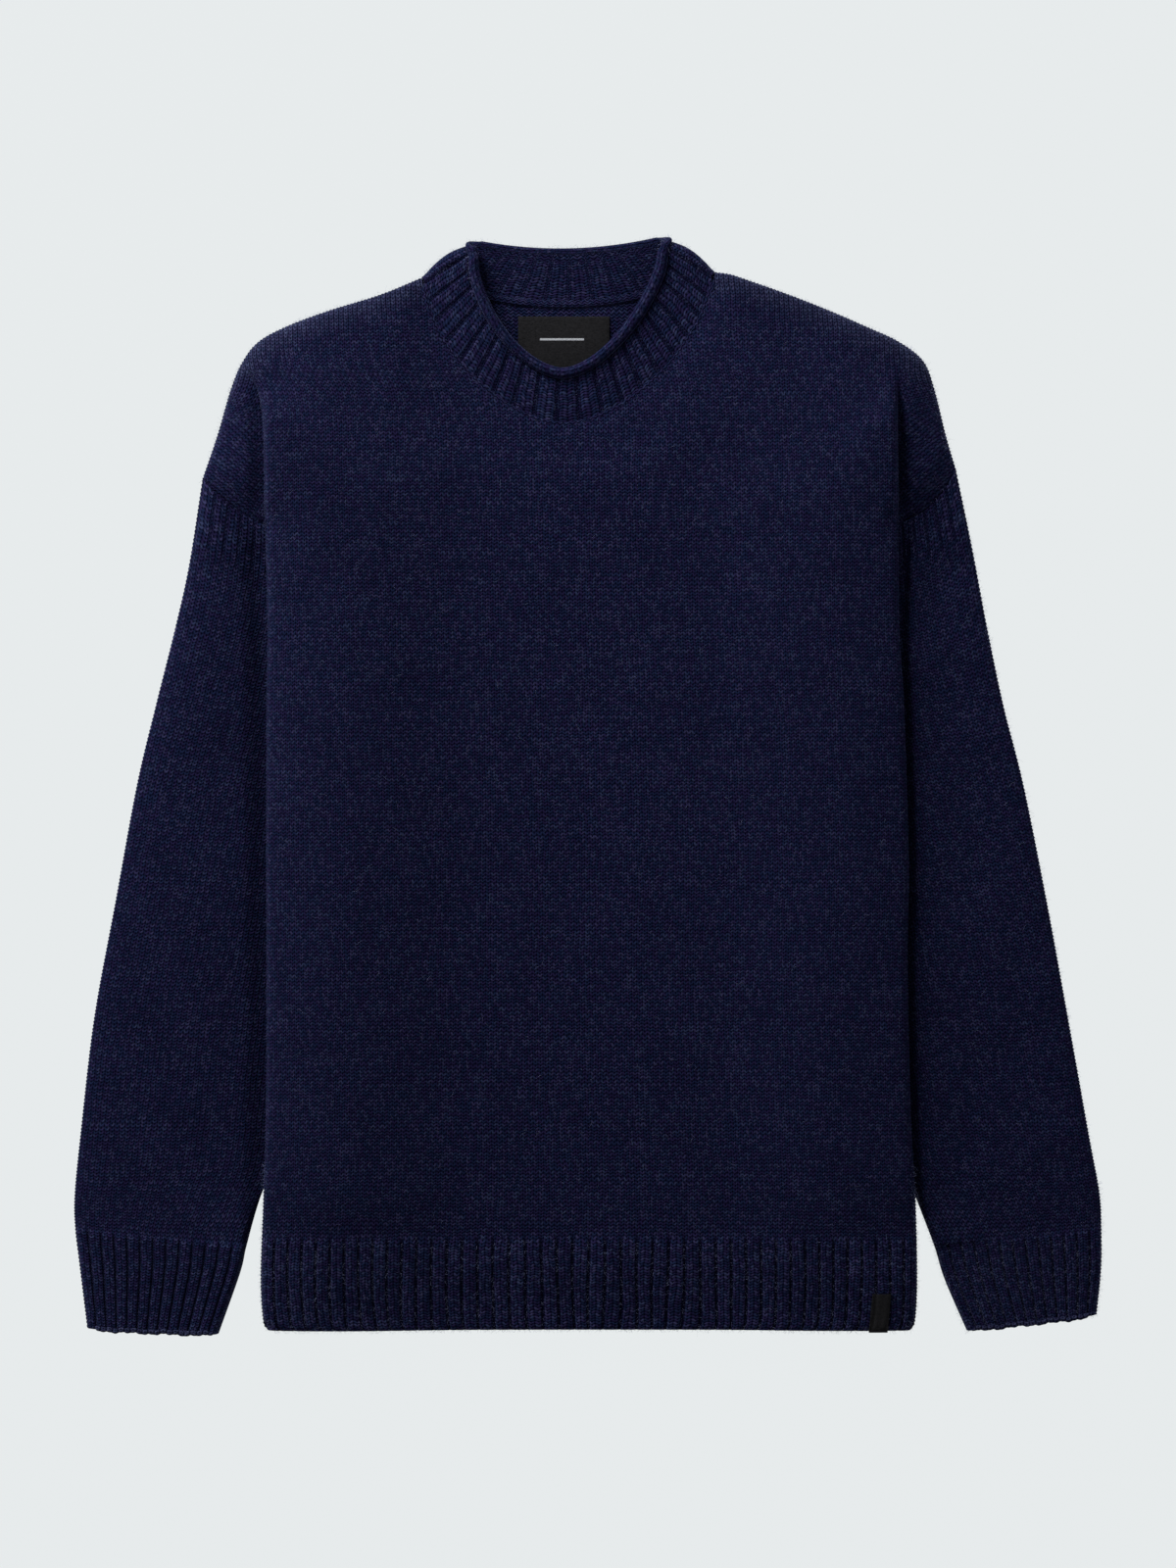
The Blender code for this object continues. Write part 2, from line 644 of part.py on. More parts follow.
def sleeve(name, rows, side):
    """A flattened tube, open at both ends, with ribs on the upper layer of its top band and cuff."""

    def visible_share(row):
        width = abs(row[2] - row[0])
        middle_y = (row[1] + row[3]) / 2 * MM
        return min(abs(side_edge(side, middle_y) / MM - row[0]) / width, 1.0)

    def loop(row, ribs, rise, inner):
        width = section_width(row)
        insets = TUBE_INNER_INSETS if inner else TUBE_OUTER_INSETS
        near = near_edge(row, insets)
        plain = near + list(TUBE_MIDDLE) + [1 - m for m in reversed(near)]
        ribbed = rib_shares(row, ribs, insets) if ribs else plain
        shown = visible_share(row)
        points = []
        for share in ribbed:
            distance = min(share, 1 - share) * width
            height = shell_height(distance, inner) + dome(share, shown)
            if rise and share < shown:
                height += rise * rib_height(share * ribs) * quarter_round(distance, 2 * FOLD)
            points.append((share, place(row, share, height)))
        for share in reversed((ribbed if row is rows[0] else plain)[1:-1]):
            distance = min(share, 1 - share) * width
            points.append((2 - share, place(row, share, -shell_height(distance, inner))))
        return points

    def place(row, share, height):
        at = seam_point(side, share, SEAM_GAP / 2) if row is rows[0] else section_point(row, share)
        return Vector((at.x, at.y, FOLD + height))

    def dome(share, shown):
        return SLEEVE_DOME * math.sin(math.pi * min(share / (DOME_REACH * shown), 1.0)) ** 2

    def shell_height(distance, inner):
        if inner:
            return HOLLOW / 2 * quarter_round(distance - WALL, FOLD - WALL)
        return FOLD * quarter_round(distance, FOLD)

    outer = [loop(row, BAND_RIBS, BAND_RISE, False) for row in rows[:BAND_ROW + 1]]
    outer += [loop(row, 0, 0.0, False) for row in rows[BAND_ROW + 1:CUFF_ROW]]
    outer += [loop(row, CUFF_RIBS, 0.0 if row is rows[CUFF_ROW] else RIB_RISE, False)
              for row in rows[CUFF_ROW:]]
    inner = [loop(row, 0, 0.0, True) for row in reversed(rows[1:])] + [loop(rows[0], BAND_RIBS, 0.0, True)]
    return loops_object(name, outer + inner, 2.0)


def collar():
    """A ribbed ring on the neckline, turned over at its two side folds, with a rolled edge."""
    front_count = COLLAR_RIBS * len(RIB_MARKS)
    marks = [(rib + mark) / COLLAR_RIBS for rib in range(COLLAR_RIBS) for mark in RIB_MARKS] + [FRONT_END]
    seam_u = u_arc(NECK_SEAM, FINE, SEAM_GAP)
    edge_u = u_arc(COLLAR_EDGE, FINE)
    seam_back = back_arc(seam_u[-1], seam_u[0], NECK_BACK_DIP - SEAM_GAP, COLLAR_BACK_POINTS)
    edge_back = back_arc(edge_u[-1], edge_u[0], EDGE_BACK_DIP, COLLAR_BACK_POINTS)

    def ring(share):
        """The middle of the cloth, at a share of the way from the seam to the rolled edge."""
        high = COLLAR_SEAM_LEVELS[0] + (COLLAR_EDGE_LEVELS[0] - COLLAR_SEAM_LEVELS[0]) * share
        low = COLLAR_SEAM_LEVELS[1] + (COLLAR_EDGE_LEVELS[1] - COLLAR_SEAM_LEVELS[1]) * share
        middle, radius = (high + low) / 2, (high - low) / 2
        points = []
        for mark in marks:
            at = round(mark * FINE)
            flat = seam_u[at].lerp(edge_u[at], share)
            points.append((mark, Vector((flat.x, flat.y, high)), "front"))
        points += fold(seam_u[-1], edge_u[-1], share, middle, radius, 1)
        for step in range(COLLAR_BACK_POINTS + 1):
            flat = seam_back[step].lerp(edge_back[step], share)
            mark = BACK_START + (BACK_END - BACK_START) * step / COLLAR_BACK_POINTS
            points.append((mark, Vector((flat.x, flat.y, low)), "back"))
        points += fold(seam_u[0], edge_u[0], share, middle, radius, -1)
        return points

    def fold(seam_end, edge_end, share, middle, radius, side):
        line = (edge_end - seam_end).normalized()
        outward = Vector((line.y, -line.x)) * side
        outward *= 1 if outward.y > 0 else -1
        base = seam_end.lerp(edge_end, share)
        start, end = (FRONT_END, BACK_START) if side > 0 else (BACK_END, RING_END)
        points = []
        for turn in COLLAR_TURNS:
            angle = math.radians(turn if side > 0 else 180 - turn)
            flat = base + outward * radius * math.sin(angle)
            at = Vector((flat.x, flat.y, middle + radius * math.cos(angle)))
            points.append((start + (end - start) * turn / 180, at, "fold"))
        return points

    low_ring, high_ring = ring(0.0), ring(1.0)
    count = len(low_ring)
    across = [(high_ring[i][1] - low_ring[i][1]) for i in range(count)]
    normals = []
    for i in range(count):
        middle = [(low_ring[k % count][1] + high_ring[k % count][1]) / 2 for k in (i - 1, i + 1)]
        normals.append((middle[1] - middle[0]).cross(across[i]).normalized())

    def loop(share, out, ribbed=0.0, coarse=True):
        points = []
        here = ring(share)
        for i, (mark, point, kind) in enumerate(here):
            if coarse and kind == "front" and i % len(RIB_MARKS):
                continue
            rise = 0.0
            if ribbed and kind == "front":
                rise = ribbed * rib_height(mark * COLLAR_RIBS)
            points.append((mark, point + normals[i] * (out + rise)))
        return points

    half = WALL / 2
    length = across[front_count // 2].length
    roll_share = 1 - ROLL_RADIUS / length
    rib_end = 1 - ROLL_FOOT * ROLL_RADIUS / length
    loops = [
        loop(0.0, half, COLLAR_RIB_START * COLLAR_RIB_RISE, False),
        loop(COLLAR_RIB_FULL, half, COLLAR_RIB_RISE, False),
        loop(rib_end, half, COLLAR_RIB_RISE, False),
    ]
    for turn in range(ROLL_SIDES + 1):
        angle = math.pi - (1.5 * math.pi) * turn / ROLL_SIDES
        loops.append(loop(roll_share + ROLL_RADIUS * math.cos(angle) / length,
                          half + ROLL_RADIUS * math.sin(angle)))
    loops += [loop(0.5, -half), loop(0.0, -half)]
    return loops_object("collar", loops, RING_END)


def neck_label(body):
    """A woven label, sewn flat on the inside of the back just under the collar seam."""
    columns, rows = LABEL_SPANS
    points = []
    for layer in (SEAM_GAP, SEAM_GAP + LABEL_THICKNESS):
        for row in range(rows + 1):
            for column in range(columns + 1):
                x = LABEL_X[0] + (LABEL_X[1] - LABEL_X[0]) * column / columns
                y = LABEL_Y[0] + (LABEL_Y[1] - LABEL_Y[0]) * row / rows
                points.append(Vector((x, y, body.back_top(x, y) + layer)))
    return woven_slab("neck_label", points, columns, rows)


def woven_slab(name, points, columns, rows):
    """A closed slab of woven tape from two grids of points, the under one first."""
    faces = []
    stride = columns + 1
    layer = stride * (rows + 1)
    for row in range(rows):
        for column in range(columns):
            a = row * stride + column
            quad = (a, a + 1, a + 1 + stride, a + stride)
            faces.append(tuple(reversed(quad)))
            faces.append(tuple(v + layer for v in quad))
    border = list(range(stride)) + [stride * r + columns for r in range(1, rows + 1)]
    border += [stride * rows + c for c in range(columns - 1, -1, -1)]
    border += [stride * r for r in range(rows - 1, 0, -1)]
    for a, b in zip(border, border[1:] + border[:1]):
        faces.append((a, b, b + layer, a + layer))
    return make_object(name, points, faces, WOVEN_BLACK, WOVEN_ROUGHNESS)


def hem_tab(body):
    """A woven tab, folded over the hem's lower edge: one leaf on the ribs, one inside."""
    middle_y = (TAB_TOP_Y + HEM_Y) / 2
    path = [(y, True) for y in (TAB_TOP_Y, middle_y, HEM_Y)]
    path += [(y, False) for y in (HEM_Y, middle_y, TAB_TOP_Y)]
    points = []
    for outward in (0.0, TAB_THICKNESS):
        for y, on_top in path:
            y_here = HEM_Y - SEAM_GAP - outward if y == HEM_Y else y
            for column in range(TAB_SPANS + 1):
                x = TAB_X + TAB_WIDTH * (column / TAB_SPANS - 0.5) + TAB_LEAN * (y - middle_y)
                if on_top:
                    z = body.front_top(x, y) + RIB_RISE + SEAM_GAP + outward
                else:
                    z = body.front_under(x, y) - SEAM_GAP - outward
                points.append(Vector((x, y_here, z)))
    return woven_slab("hem_tab", points, TAB_SPANS, len(path) - 1)


def main():
    clear_scene()
    body = body_panels()
    sleeve("sleeve_right", SLEEVE_RIGHT, -1)
    sleeve("sleeve_left", SLEEVE_LEFT, 1)
    collar()
    neck_label(body)
    hem_tab(body)


main()
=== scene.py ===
"""A guernsey fisherman sweater in heavy navy melange wool, laid flat.

Its sleeves are drawn down under its sides. Metres, in the frame of the solids: +X to the wearer's left,
+Y towards the collar, +Z up from the table.
"""
import math

import bpy
import numpy as np
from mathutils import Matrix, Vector
from mathutils.geometry import delaunay_2d_cdt


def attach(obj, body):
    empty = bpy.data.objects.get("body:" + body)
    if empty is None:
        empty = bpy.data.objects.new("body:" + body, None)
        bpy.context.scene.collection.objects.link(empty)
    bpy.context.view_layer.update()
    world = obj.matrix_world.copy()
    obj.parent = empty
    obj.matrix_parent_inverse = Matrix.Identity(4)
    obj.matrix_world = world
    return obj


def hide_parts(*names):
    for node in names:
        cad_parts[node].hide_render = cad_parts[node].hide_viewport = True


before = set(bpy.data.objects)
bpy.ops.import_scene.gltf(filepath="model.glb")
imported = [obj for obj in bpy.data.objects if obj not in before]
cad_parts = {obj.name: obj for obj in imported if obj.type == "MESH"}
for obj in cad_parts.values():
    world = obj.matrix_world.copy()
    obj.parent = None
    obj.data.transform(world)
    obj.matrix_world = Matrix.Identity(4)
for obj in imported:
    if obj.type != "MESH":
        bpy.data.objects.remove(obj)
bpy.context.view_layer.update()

BODY = "root"

# Front panel: heavy plain knit of navy melange wool, worked from the hem's 2 by 1 rib up to the shoulders.
# It is linked to the back along the shoulders; its side edges fold under as it lies, over the sleeves.
MM = 0.001
WALL = 3.0 * MM            # thickness of the knit
HOLLOW = 2.2 * MM          # air between the two layers
FOLD = WALL + HOLLOW / 2   # radius of a folded edge
SOFT_EDGE = 20 * MM        # over this width the cloth still rises a little
TOP_RISE = 5.4 * MM        # from a folded edge up to the flat of the cloth
SLIT = 0.02 * MM           # half the gap at which front and back meet along a fold
SEAM_GAP = 0.3 * MM
SEAM_SLIT = 0.01 * MM      # linked edges meet this closely
PUFF = 1.2 * MM            # the cloth lies this much higher away from its edges
PUFF_WIDTH = 45 * MM
HEM_Y = -344.4 * MM
RIB_TOP_Y = -290.0 * MM
RIB_FADE_Y = -283.0 * MM
HEM_RIBS = 44
WALES = 3 * HEM_RIBS       # two wales that stand and one that sinks to a rib
GATHER = 0.075             # share by which the wales lie closer at the sides than on average
WALE = 3.3 * MM
COURSE = 2.3 * MM
RIB_COURSE = 1.84 * MM
RIB_RISE = 1.1 * MM
RIB_MARKS = (0.0, 0.05, 0.11, 0.24, 0.50, 0.76, 0.89, 0.95, 1.0)     # places across one rib
RIB_HEIGHTS = (-0.15, 0.15, 0.72, 1.0, 0.78, 1.0, 0.72, 0.15, -0.15)
RIB_WALES = (0.0, 0.30, 0.55, 0.95, 1.5, 2.05, 2.45, 2.70, 3.0)      # the sunk wale is squeezed narrow
SIDE_LIFT = 8.5 * MM       # the sleeve and the layers under a side of the body raise it by this
TURNED_UNDER = 45 * MM     # as far in as this, and no more after the slope
TURNED_SLOPE = 85 * MM
SIDE_SWELL = {-1: 5.2 * MM, 1: 2.0 * MM}     # it swells too, over the layers turned under, by side
SWELL_WIDTH = 42 * MM
SWELL_FALL = 150 * MM
HEM_LIFT_SHARE = 0.7       # at the hem this share of both is left
LIFT_FULL_Y = -250 * MM
LIFT_HEM_Y = -300 * MM
LIFT_SPREAD = (50 * MM, 28 * MM)     # further in, they fade towards the neck over a height longer by these
LIFT_SPREAD_WIDTH = 60 * MM
SHOULDER_SWELL = 2.4 * MM  # the shoulders rise by this from their edges
SHOULDER_WIDTH = 62 * MM
SHOULDER_RIM = (2.4 * MM, 5.2 * MM)     # and more steeply by this, near the neck and at the corners
SHOULDER_RIM_WIDTH = 18 * MM
RIM_FLAT = 0.8             # of that width: from there the rim sinks again
RIM_FALL = 95 * MM
CORNER_XS = (110 * MM, 180 * MM)
CORNER_Y = 168 * MM        # where the drop-shoulder seam goes under the side edge
CAP_FADE = 20 * MM
CAP_START_Y = CORNER_Y - CAP_FADE
CREASE_TOP_Y = 264 * MM    # a crease runs from the corner up to here, along the side's edge
CREASE_FULL_Y = 226 * MM   # it is at its deepest up to here
CREASE_ROUND = 5 * MM
CREASE_LINES = (-1.5, -0.6, 0.4, 1.4, 2.6, 4.2)     # rows of points along it, in mm inside the side's edge
CAP_DROP = 3.6 * MM        # the knit outside it sinks towards it by this
CAP_DROP_WIDTH = {-1: 13 * MM, 1: 8 * MM}
CAP_UNDER = 0.7            # and its inner face by this share of that
CAP_TURN = math.radians(37)        # it hangs at this slant there
CAP_TURN_YS = (275 * MM, 215 * MM)
CAP_GAPE = 0.65            # it is stretched there and shows its courses as lines
CAP_GAPE_WIDTHS = (1 * MM, 5 * MM)     # from this far outside, and in full after this width
CAP_GAPE_FALL = 30 * MM
SHOULDER_GAPE_AND_RIM_LIGHT = 0.9        # and along the shoulders its wales; there the wool is also painted paler, as painted rim light
SHOULDER_GAPE_WIDTH = 36 * MM
SHOULDER_GAPE_YS = (215 * MM, 45 * MM)     # from here up, and in full after this height
SEAM_DIP = (1.7 * MM, 2.6 * MM)     # depth and width of the dips at the seams, the neck and the hem
NECK_DIP = (0.8 * MM, 4 * MM)
HEM_DIP = (0.7 * MM, 1.0 * MM)
EDGE_STEP = 1.15 * MM      # half a course
STITCH_OUT = 0.26 * MM     # each second point of a folded edge stands out as a stitch
PANEL_STEP = 2.6 * MM
UNDER_STEP = 14 * MM       # its inner face is smooth
ROW_STEP = 0.87            # rows of points lie closer than the points in them, so they make even triangles
FIELD_X = 250 * MM         # the even field of points reaches past the outline, and is cut to it
FIELD_TOP = 330 * MM
FOLD_ROWS = [FOLD * (1 - math.cos(math.radians(turn))) for turn in (20, 33, 46, 58, 70, 82, 95)]
FOLD_CLEAR = 0.93          # of its own distance: a row along one fold keeps this clear of the others
FIELD_CLEAR = FOLD * 1.15
LINE_CLEAR = 1.4 * MM
BORDER_CLEAR = 0.3 * MM
HAIR = 0.01 * MM           # a place this close to a side's edge is on it
RIB_ROWS = 32
SIDE_EDGES = (             # y, x at the wearer's right, x at the wearer's left
    (-344.4, -202.8, 204.0), (-338.0, -205.6, 207.0), (-310.0, -207.1, 208.3), (-260.0, -205.2, 207.0),
    (-205.0, -203.6, 204.0), (-110.0, -203.2, 202.0), (-50.0, -203.4, 202.8), (50.0, -203.2, 199.8),
    (100.0, -202.6, 196.8), (168.0, -204.2, 196.2), (225.0, -204.8, 195.4), (248.0, -208.0, 195.2),
    (260.0, -213.4, 195.2), (270.0, -219.0, 195.0),
    (340.0, -224.0, 192.5),
)
SHOULDERS = {
    -1: ((-105.0, 322.0), (-132.0, 311.0), (-164.3, 301.0), (-191.0, 291.0), (-208.9, 281.2),
         (-219.0, 268.5), (-226.3, 251.4), (-235.0, 221.7), (-244.3, 194.4)),
    1: ((80.0, 325.4), (90.0, 324.0), (100.0, 320.8), (127.7, 311.0), (153.1, 301.0), (176.1, 291.0),
        (197.2, 281.2), (212.5, 269.0), (219.5, 251.4), (226.9, 221.7), (233.1, 200.6)),
}
SHOULDER_SEAMS = {         # outer x, outer y, inner x, inner y, sag towards the cuff
    -1: (-244.3, 194.4, -178.0, 152.0, 6.5),
    1: (233.1, 200.6, 178.0, 156.0, 10.5),
}
NECK_SEAM = dict(centre=-12.5 * MM, half=92.5 * MM, top=322.0 * MM, depth=94.0 * MM, power=1.7,
                 lean=-2.0 * MM, tilt=3.4 * MM)
NECK_BACK_DIP = 18.7 * MM
# Soft troughs (negative) and ridges in the cloth: x, y from and to, width and height, in millimetres
FRONT_CREASES = (
    (-196, 120, -176, -60, 16, 0.7), (-150, 215, -60, 236, 26, -0.8), (150, 226, 62, 205, 30, -0.7),
    (-40, 190, 70, 172, 40, 0.8), (-120, 90, -96, -120, 38, 0.7), (118, 60, 132, -110, 34, -0.7),
    (20, 20, 46, -190, 46, 0.8), (-60, -150, -30, -262, 36, -0.6), (92, -180, 150, -262, 30, 0.7),
    (-180, -200, -140, -270, 24, -0.6), (-190, 262, -150, 250, 14, 0.6), (176, 250, 140, 262, 16, 0.5),
    (-214, 250, -224, 206, 9, -0.6), (212, 246, 216, 205, 9, -0.5), (188, 70, 190, -90, 12, -0.4),
)


def smooth(t):
    t = np.clip(t, 0.0, 1.0)
    return t * t * (3 - 2 * t)


def quarter_round(distance, radius):
    """Height share of a rounded edge: 0 at the edge, 1 from one radius inwards."""
    inward = np.clip(distance / radius, 0.0, 1.0)
    return np.sqrt(1 - (1 - inward) ** 2)


def edge_round(distance):
    """Height share of a folded edge from outside: round at the fold, and rising a little further in."""
    return 0.52 * quarter_round(distance, FOLD) + 0.48 * quarter_round(distance, SOFT_EDGE)


def through(rows, steps):
    """A smooth curve through rows of numbers, each span cut into steps."""
    rows = np.array(rows, float)
    rows = np.vstack([2 * rows[0] - rows[1], rows, 2 * rows[-1] - rows[-2]])
    curve = []
    for a, b, c, d in zip(rows, rows[1:], rows[2:], rows[3:]):
        for t in np.arange(steps) / steps:
            curve.append((2 * b + (c - a) * t + (2 * a - 5 * b + 4 * c - d) * t ** 2
                          + (3 * b - a - 3 * c + d) * t ** 3) / 2)
    return np.array(curve + [rows[-2]])


def unit(vectors):
    return vectors / np.linalg.norm(vectors, axis=-1, keepdims=True)


def square_to(ahead):
    """Unit vectors on the table, to the left of the ways that are given."""
    return unit(np.stack([-ahead[:, 1], ahead[:, 0]], axis=1))


def travelled(line):
    """How far along a line each of its points lies."""
    return np.concatenate([[0.0], np.cumsum(np.linalg.norm(np.diff(line, axis=0), axis=1))])


def even(line, step):
    """A line's shape in evenly spaced points."""
    lengths = travelled(line)
    at = np.linspace(0, lengths[-1], max(int(round(lengths[-1] / step)), 1) + 1)
    return np.stack([np.interp(at, lengths, line[:, i]) for i in range(line.shape[1])], axis=1)


SIDE_LINES = through(SIDE_EDGES, 12) * MM


def side_edge(side, y):
    return np.interp(y, SIDE_LINES[:, 0], SIDE_LINES[:, 1 if side < 0 else 2])


def outside_body(x, y):
    """How far a place lies outside the body's side edges, negative between them."""
    return np.maximum(side_edge(-1, y) - x, x - side_edge(1, y))


def section_point(row, share):
    """A place across one section of a sleeve, 0 at its outer fold and 1 at its inner one."""
    outer_x, outer_y, inner_x, inner_y, sag = np.moveaxis(np.asarray(row, float), -1, 0)
    shape = share * (1 - share) ** 2 * 27 / 4
    return np.stack([outer_x + (inner_x - outer_x) * share,
                     outer_y + (inner_y - outer_y) * share - sag * shape], axis=-1) * MM


def seam_line(side, offset):
    """The drop-shoulder seam from its outer end to the body's side edge, moved towards the cuff."""
    shares = np.linspace(0, 1, 400)
    line = section_point(SHOULDER_SEAMS[side], shares)
    ahead = np.gradient(line, axis=0)
    to_cuff = np.stack([ahead[:, 1], -ahead[:, 0]], axis=1) * np.sign(ahead[:, :1])
    moved = line + unit(to_cuff) * offset
    outside = side * (side_edge(side, line[:, 1]) - line[:, 0]) < 0
    return moved[outside]


def u_arc(shape, step):
    """A U from its -X end down and round to its +X end."""
    angle = np.linspace(0, math.pi, 801)
    across = np.sign(np.cos(angle)) * np.abs(np.cos(angle)) ** (2 / shape["power"])
    down = np.clip(np.sin(angle), 0, 1) ** (2 / shape["power"])
    line = np.stack([shape["centre"] - shape["half"] * across + shape["lean"] * down,
                     shape["top"] - shape["depth"] * down], axis=1)
    line[:, 1] += shape["tilt"] * smooth((line[:, 0] - shape["centre"]) / shape["half"])
    return even(line, step)


def hanging_arc(start, end, dip, step):
    share = np.linspace(0, 1, 101)[:, None]
    line = start + (end - start) * share - np.array([0.0, 1.0]) * dip * 4 * share * (1 - share)
    return even(line, step)


def distance_to(places, lines):
    nearest = np.ones(len(places))
    for line in lines:
        for start, end in zip(line, line[1:]):
            along = end - start
            share = np.clip((places - start) @ along / (along @ along), 0, 1)
            nearest = np.minimum(nearest, np.linalg.norm(places - start - share[:, None] * along, axis=1))
    return nearest


def is_inside(places, outline):
    odd = np.zeros(len(places), bool)
    for (x0, y0), (x1, y1) in zip(outline, np.roll(outline, -1, axis=0)):
        if y0 != y1:
            crosses = (y0 > places[:, 1]) != (y1 > places[:, 1])
            odd ^= crosses & (places[:, 0] < x0 + (x1 - x0) * (places[:, 1] - y0) / (y1 - y0))
    return odd


def gathered(share):
    return share + GATHER * np.sin(2 * math.pi * share) / (2 * math.pi)


def rib_places(ribs):
    """Places across a row of ribs, from 0 at its start to 1 at its end."""
    return np.array([(rib + mark) / ribs for rib in range(ribs) for mark in RIB_MARKS[:-1]] + [1.0])


def rib_profile(wale):
    """Height share across the ribs, three wales to each."""
    return np.interp(np.mod(wale / 3, 1.0), RIB_MARKS, RIB_HEIGHTS)


def rib_squeeze(wale):
    """The wale numbers of the stitches in a rib, where the sunk wale is narrow."""
    return 3 * np.floor(wale / 3) + np.interp(np.mod(wale / 3, 1.0), RIB_MARKS, RIB_WALES)


def rib_wander(share, y):
    """How far the hem's ribs stray sideways, in wales, growing towards the cast-off edge."""
    below = np.clip((RIB_FADE_Y - y) / (RIB_FADE_Y - HEM_Y), 0, 1)
    stray = (0.30 * np.sin(19 * share + 3.0) + 0.22 * np.sin(47 * share + 31 * y + 1.0)
             + 0.16 * np.sin(90 * y + 61 * share))
    return stray * below * np.sin(math.pi * np.clip(share, 0, 1)) ** 0.5


def hem_share(y):
    """How much of the hem's rib there is at a height, 1 in it and 0 above."""
    return smooth((RIB_FADE_Y - y) / (RIB_FADE_Y - RIB_TOP_Y))


def plain_wale(x, y):
    """Wale numbers at places on the body, as if it had no ribs."""
    left, right = side_edge(-1, y), side_edge(1, y)
    share = (x - left) / (right - left)
    return WALES * gathered(share) + rib_wander(share, y)


def body_knit(x, y):
    """Wale and course numbers at places on the body, and its share of rib."""
    plain = plain_wale(x, y)
    rib = hem_share(y)
    wale = plain + (rib_squeeze(plain) - plain) * rib
    course = (y - RIB_TOP_Y) / np.where(y > RIB_TOP_Y, COURSE, RIB_COURSE)
    for side in (-1, 1):
        outside = (side * (x - side_edge(side, y)) > 0) & (y > CAP_START_Y)
        pivot = side_edge(side, CREASE_TOP_Y)
        turn = CAP_TURN * smooth((CAP_TURN_YS[0] - y) / (CAP_TURN_YS[0] - CAP_TURN_YS[1])) * side
        dx, dy = x - pivot, y - CREASE_TOP_Y
        cap_wale = WALES * (side > 0) + (dx * np.cos(turn) + dy * np.sin(turn)) / WALE
        cap_course = (CREASE_TOP_Y - RIB_TOP_Y + dy * np.cos(turn) - dx * np.sin(turn)) / COURSE
        wale = np.where(outside, cap_wale, wale)
        course = np.where(outside, cap_course, course)
    return wale, course, rib


def lift(x, y):
    """How far the layers under a side of the body raise it."""
    left, right = side_edge(-1, y), side_edge(1, y)
    at_right = x < (left + right) / 2
    depth = np.where(at_right, x - left, right - x)
    swell = np.where(at_right, SIDE_SWELL[-1], SIDE_SWELL[1])
    towards_hem = smooth((LIFT_FULL_Y - y) / (LIFT_FULL_Y - LIFT_HEM_Y))
    inward = smooth(depth / LIFT_SPREAD_WIDTH)
    low, high = CREASE_FULL_Y - LIFT_SPREAD[0] * inward, CREASE_TOP_Y + LIFT_SPREAD[1] * inward
    towards_neck = smooth((y - low) / (high - low))
    along = (1 - (1 - HEM_LIFT_SHARE) * towards_hem) * (1 - towards_neck)
    across = 1 - smooth((depth - TURNED_UNDER) / TURNED_SLOPE)
    bulge = 1 - (1 - np.clip(depth / SWELL_WIDTH, 0, 1)) ** 2
    bulge = bulge * (1 - smooth((depth - TURNED_UNDER) / SWELL_FALL))
    height = (SIDE_LIFT * across + swell * bulge) * along
    height = np.where(y > CORNER_Y + SEAM_GAP, height * quarter_round(depth, CREASE_ROUND), height)
    return np.where(depth < -HAIR, 0.0, height)


def creases(x, y, rows):
    """Soft troughs and ridges, each along its own line and fading out at both ends."""
    height = np.zeros(len(x))
    for x0, y0, x1, y1, width, rise in rows:
        start = np.array([x0, y0]) * MM
        along = np.array([x1 - x0, y1 - y0]) * MM
        share = ((x - start[0]) * along[0] + (y - start[1]) * along[1]) / (along @ along)
        off_x, off_y = x - start[0] - share * along[0], y - start[1] - share * along[1]
        ends = smooth(1.25 - np.abs(share - 0.5) * 1.7)
        height += rise * MM * ends * np.exp(-(off_x ** 2 + off_y ** 2) / (width * MM) ** 2)
    return height


SHOULDER_LINES = {side: even(through(rows, 16) * MM, EDGE_STEP) for side, rows in SHOULDERS.items()}
SEAM_LINES = {side: even(seam_line(side, -SEAM_SLIT), EDGE_STEP) for side in (-1, 1)}
SIDE_FOLDS = {}
for side in (-1, 1):
    ys = np.arange(HEM_Y, SEAM_LINES[side][-1, 1], EDGE_STEP)
    SIDE_FOLDS[side] = np.stack([side_edge(side, ys), ys], axis=1)
FRONT_NECK = u_arc(NECK_SEAM, EDGE_STEP)[::-1]
BACK_NECK = hanging_arc(FRONT_NECK[0], FRONT_NECK[-1], NECK_BACK_DIP, EDGE_STEP)
BODY_FOLDS = list(SIDE_FOLDS.values()) + list(SHOULDER_LINES.values())
COARSE_FOLDS = [fold[::6] for fold in BODY_FOLDS]
COARSE_SHOULDERS = [line[::6] for line in SHOULDER_LINES.values()]
rib_table = np.linspace(-0.02, 1.02, 4000)
rib_shares = np.interp(rib_places(HEM_RIBS), gathered(rib_table), rib_table)


def hem_row(y):
    left, right = side_edge(-1, y), side_edge(1, y)
    share = rib_shares - rib_wander(rib_shares, y) / WALES
    return np.stack([left + (right - left) * share, np.full(len(rib_shares), y)], axis=1)


def body_outline(hem, neck):
    """Counter-clockwise from the hem's -X corner, with the flags of the folded points."""
    stretches = (
        (SIDE_FOLDS[-1][:1], True), (hem[1:-1], False), (SIDE_FOLDS[1], True),
        (SEAM_LINES[1][-2:0:-1], False), (SHOULDER_LINES[1][::-1], True), (neck[1:-1], False),
        (SHOULDER_LINES[-1], True), (SEAM_LINES[-1][1:-1], False), (SIDE_FOLDS[-1][:0:-1], True),
    )
    places = np.vstack([stretch for stretch, _ in stretches])
    folded = np.concatenate([np.full(len(stretch), flag) for stretch, flag in stretches])
    return places, folded


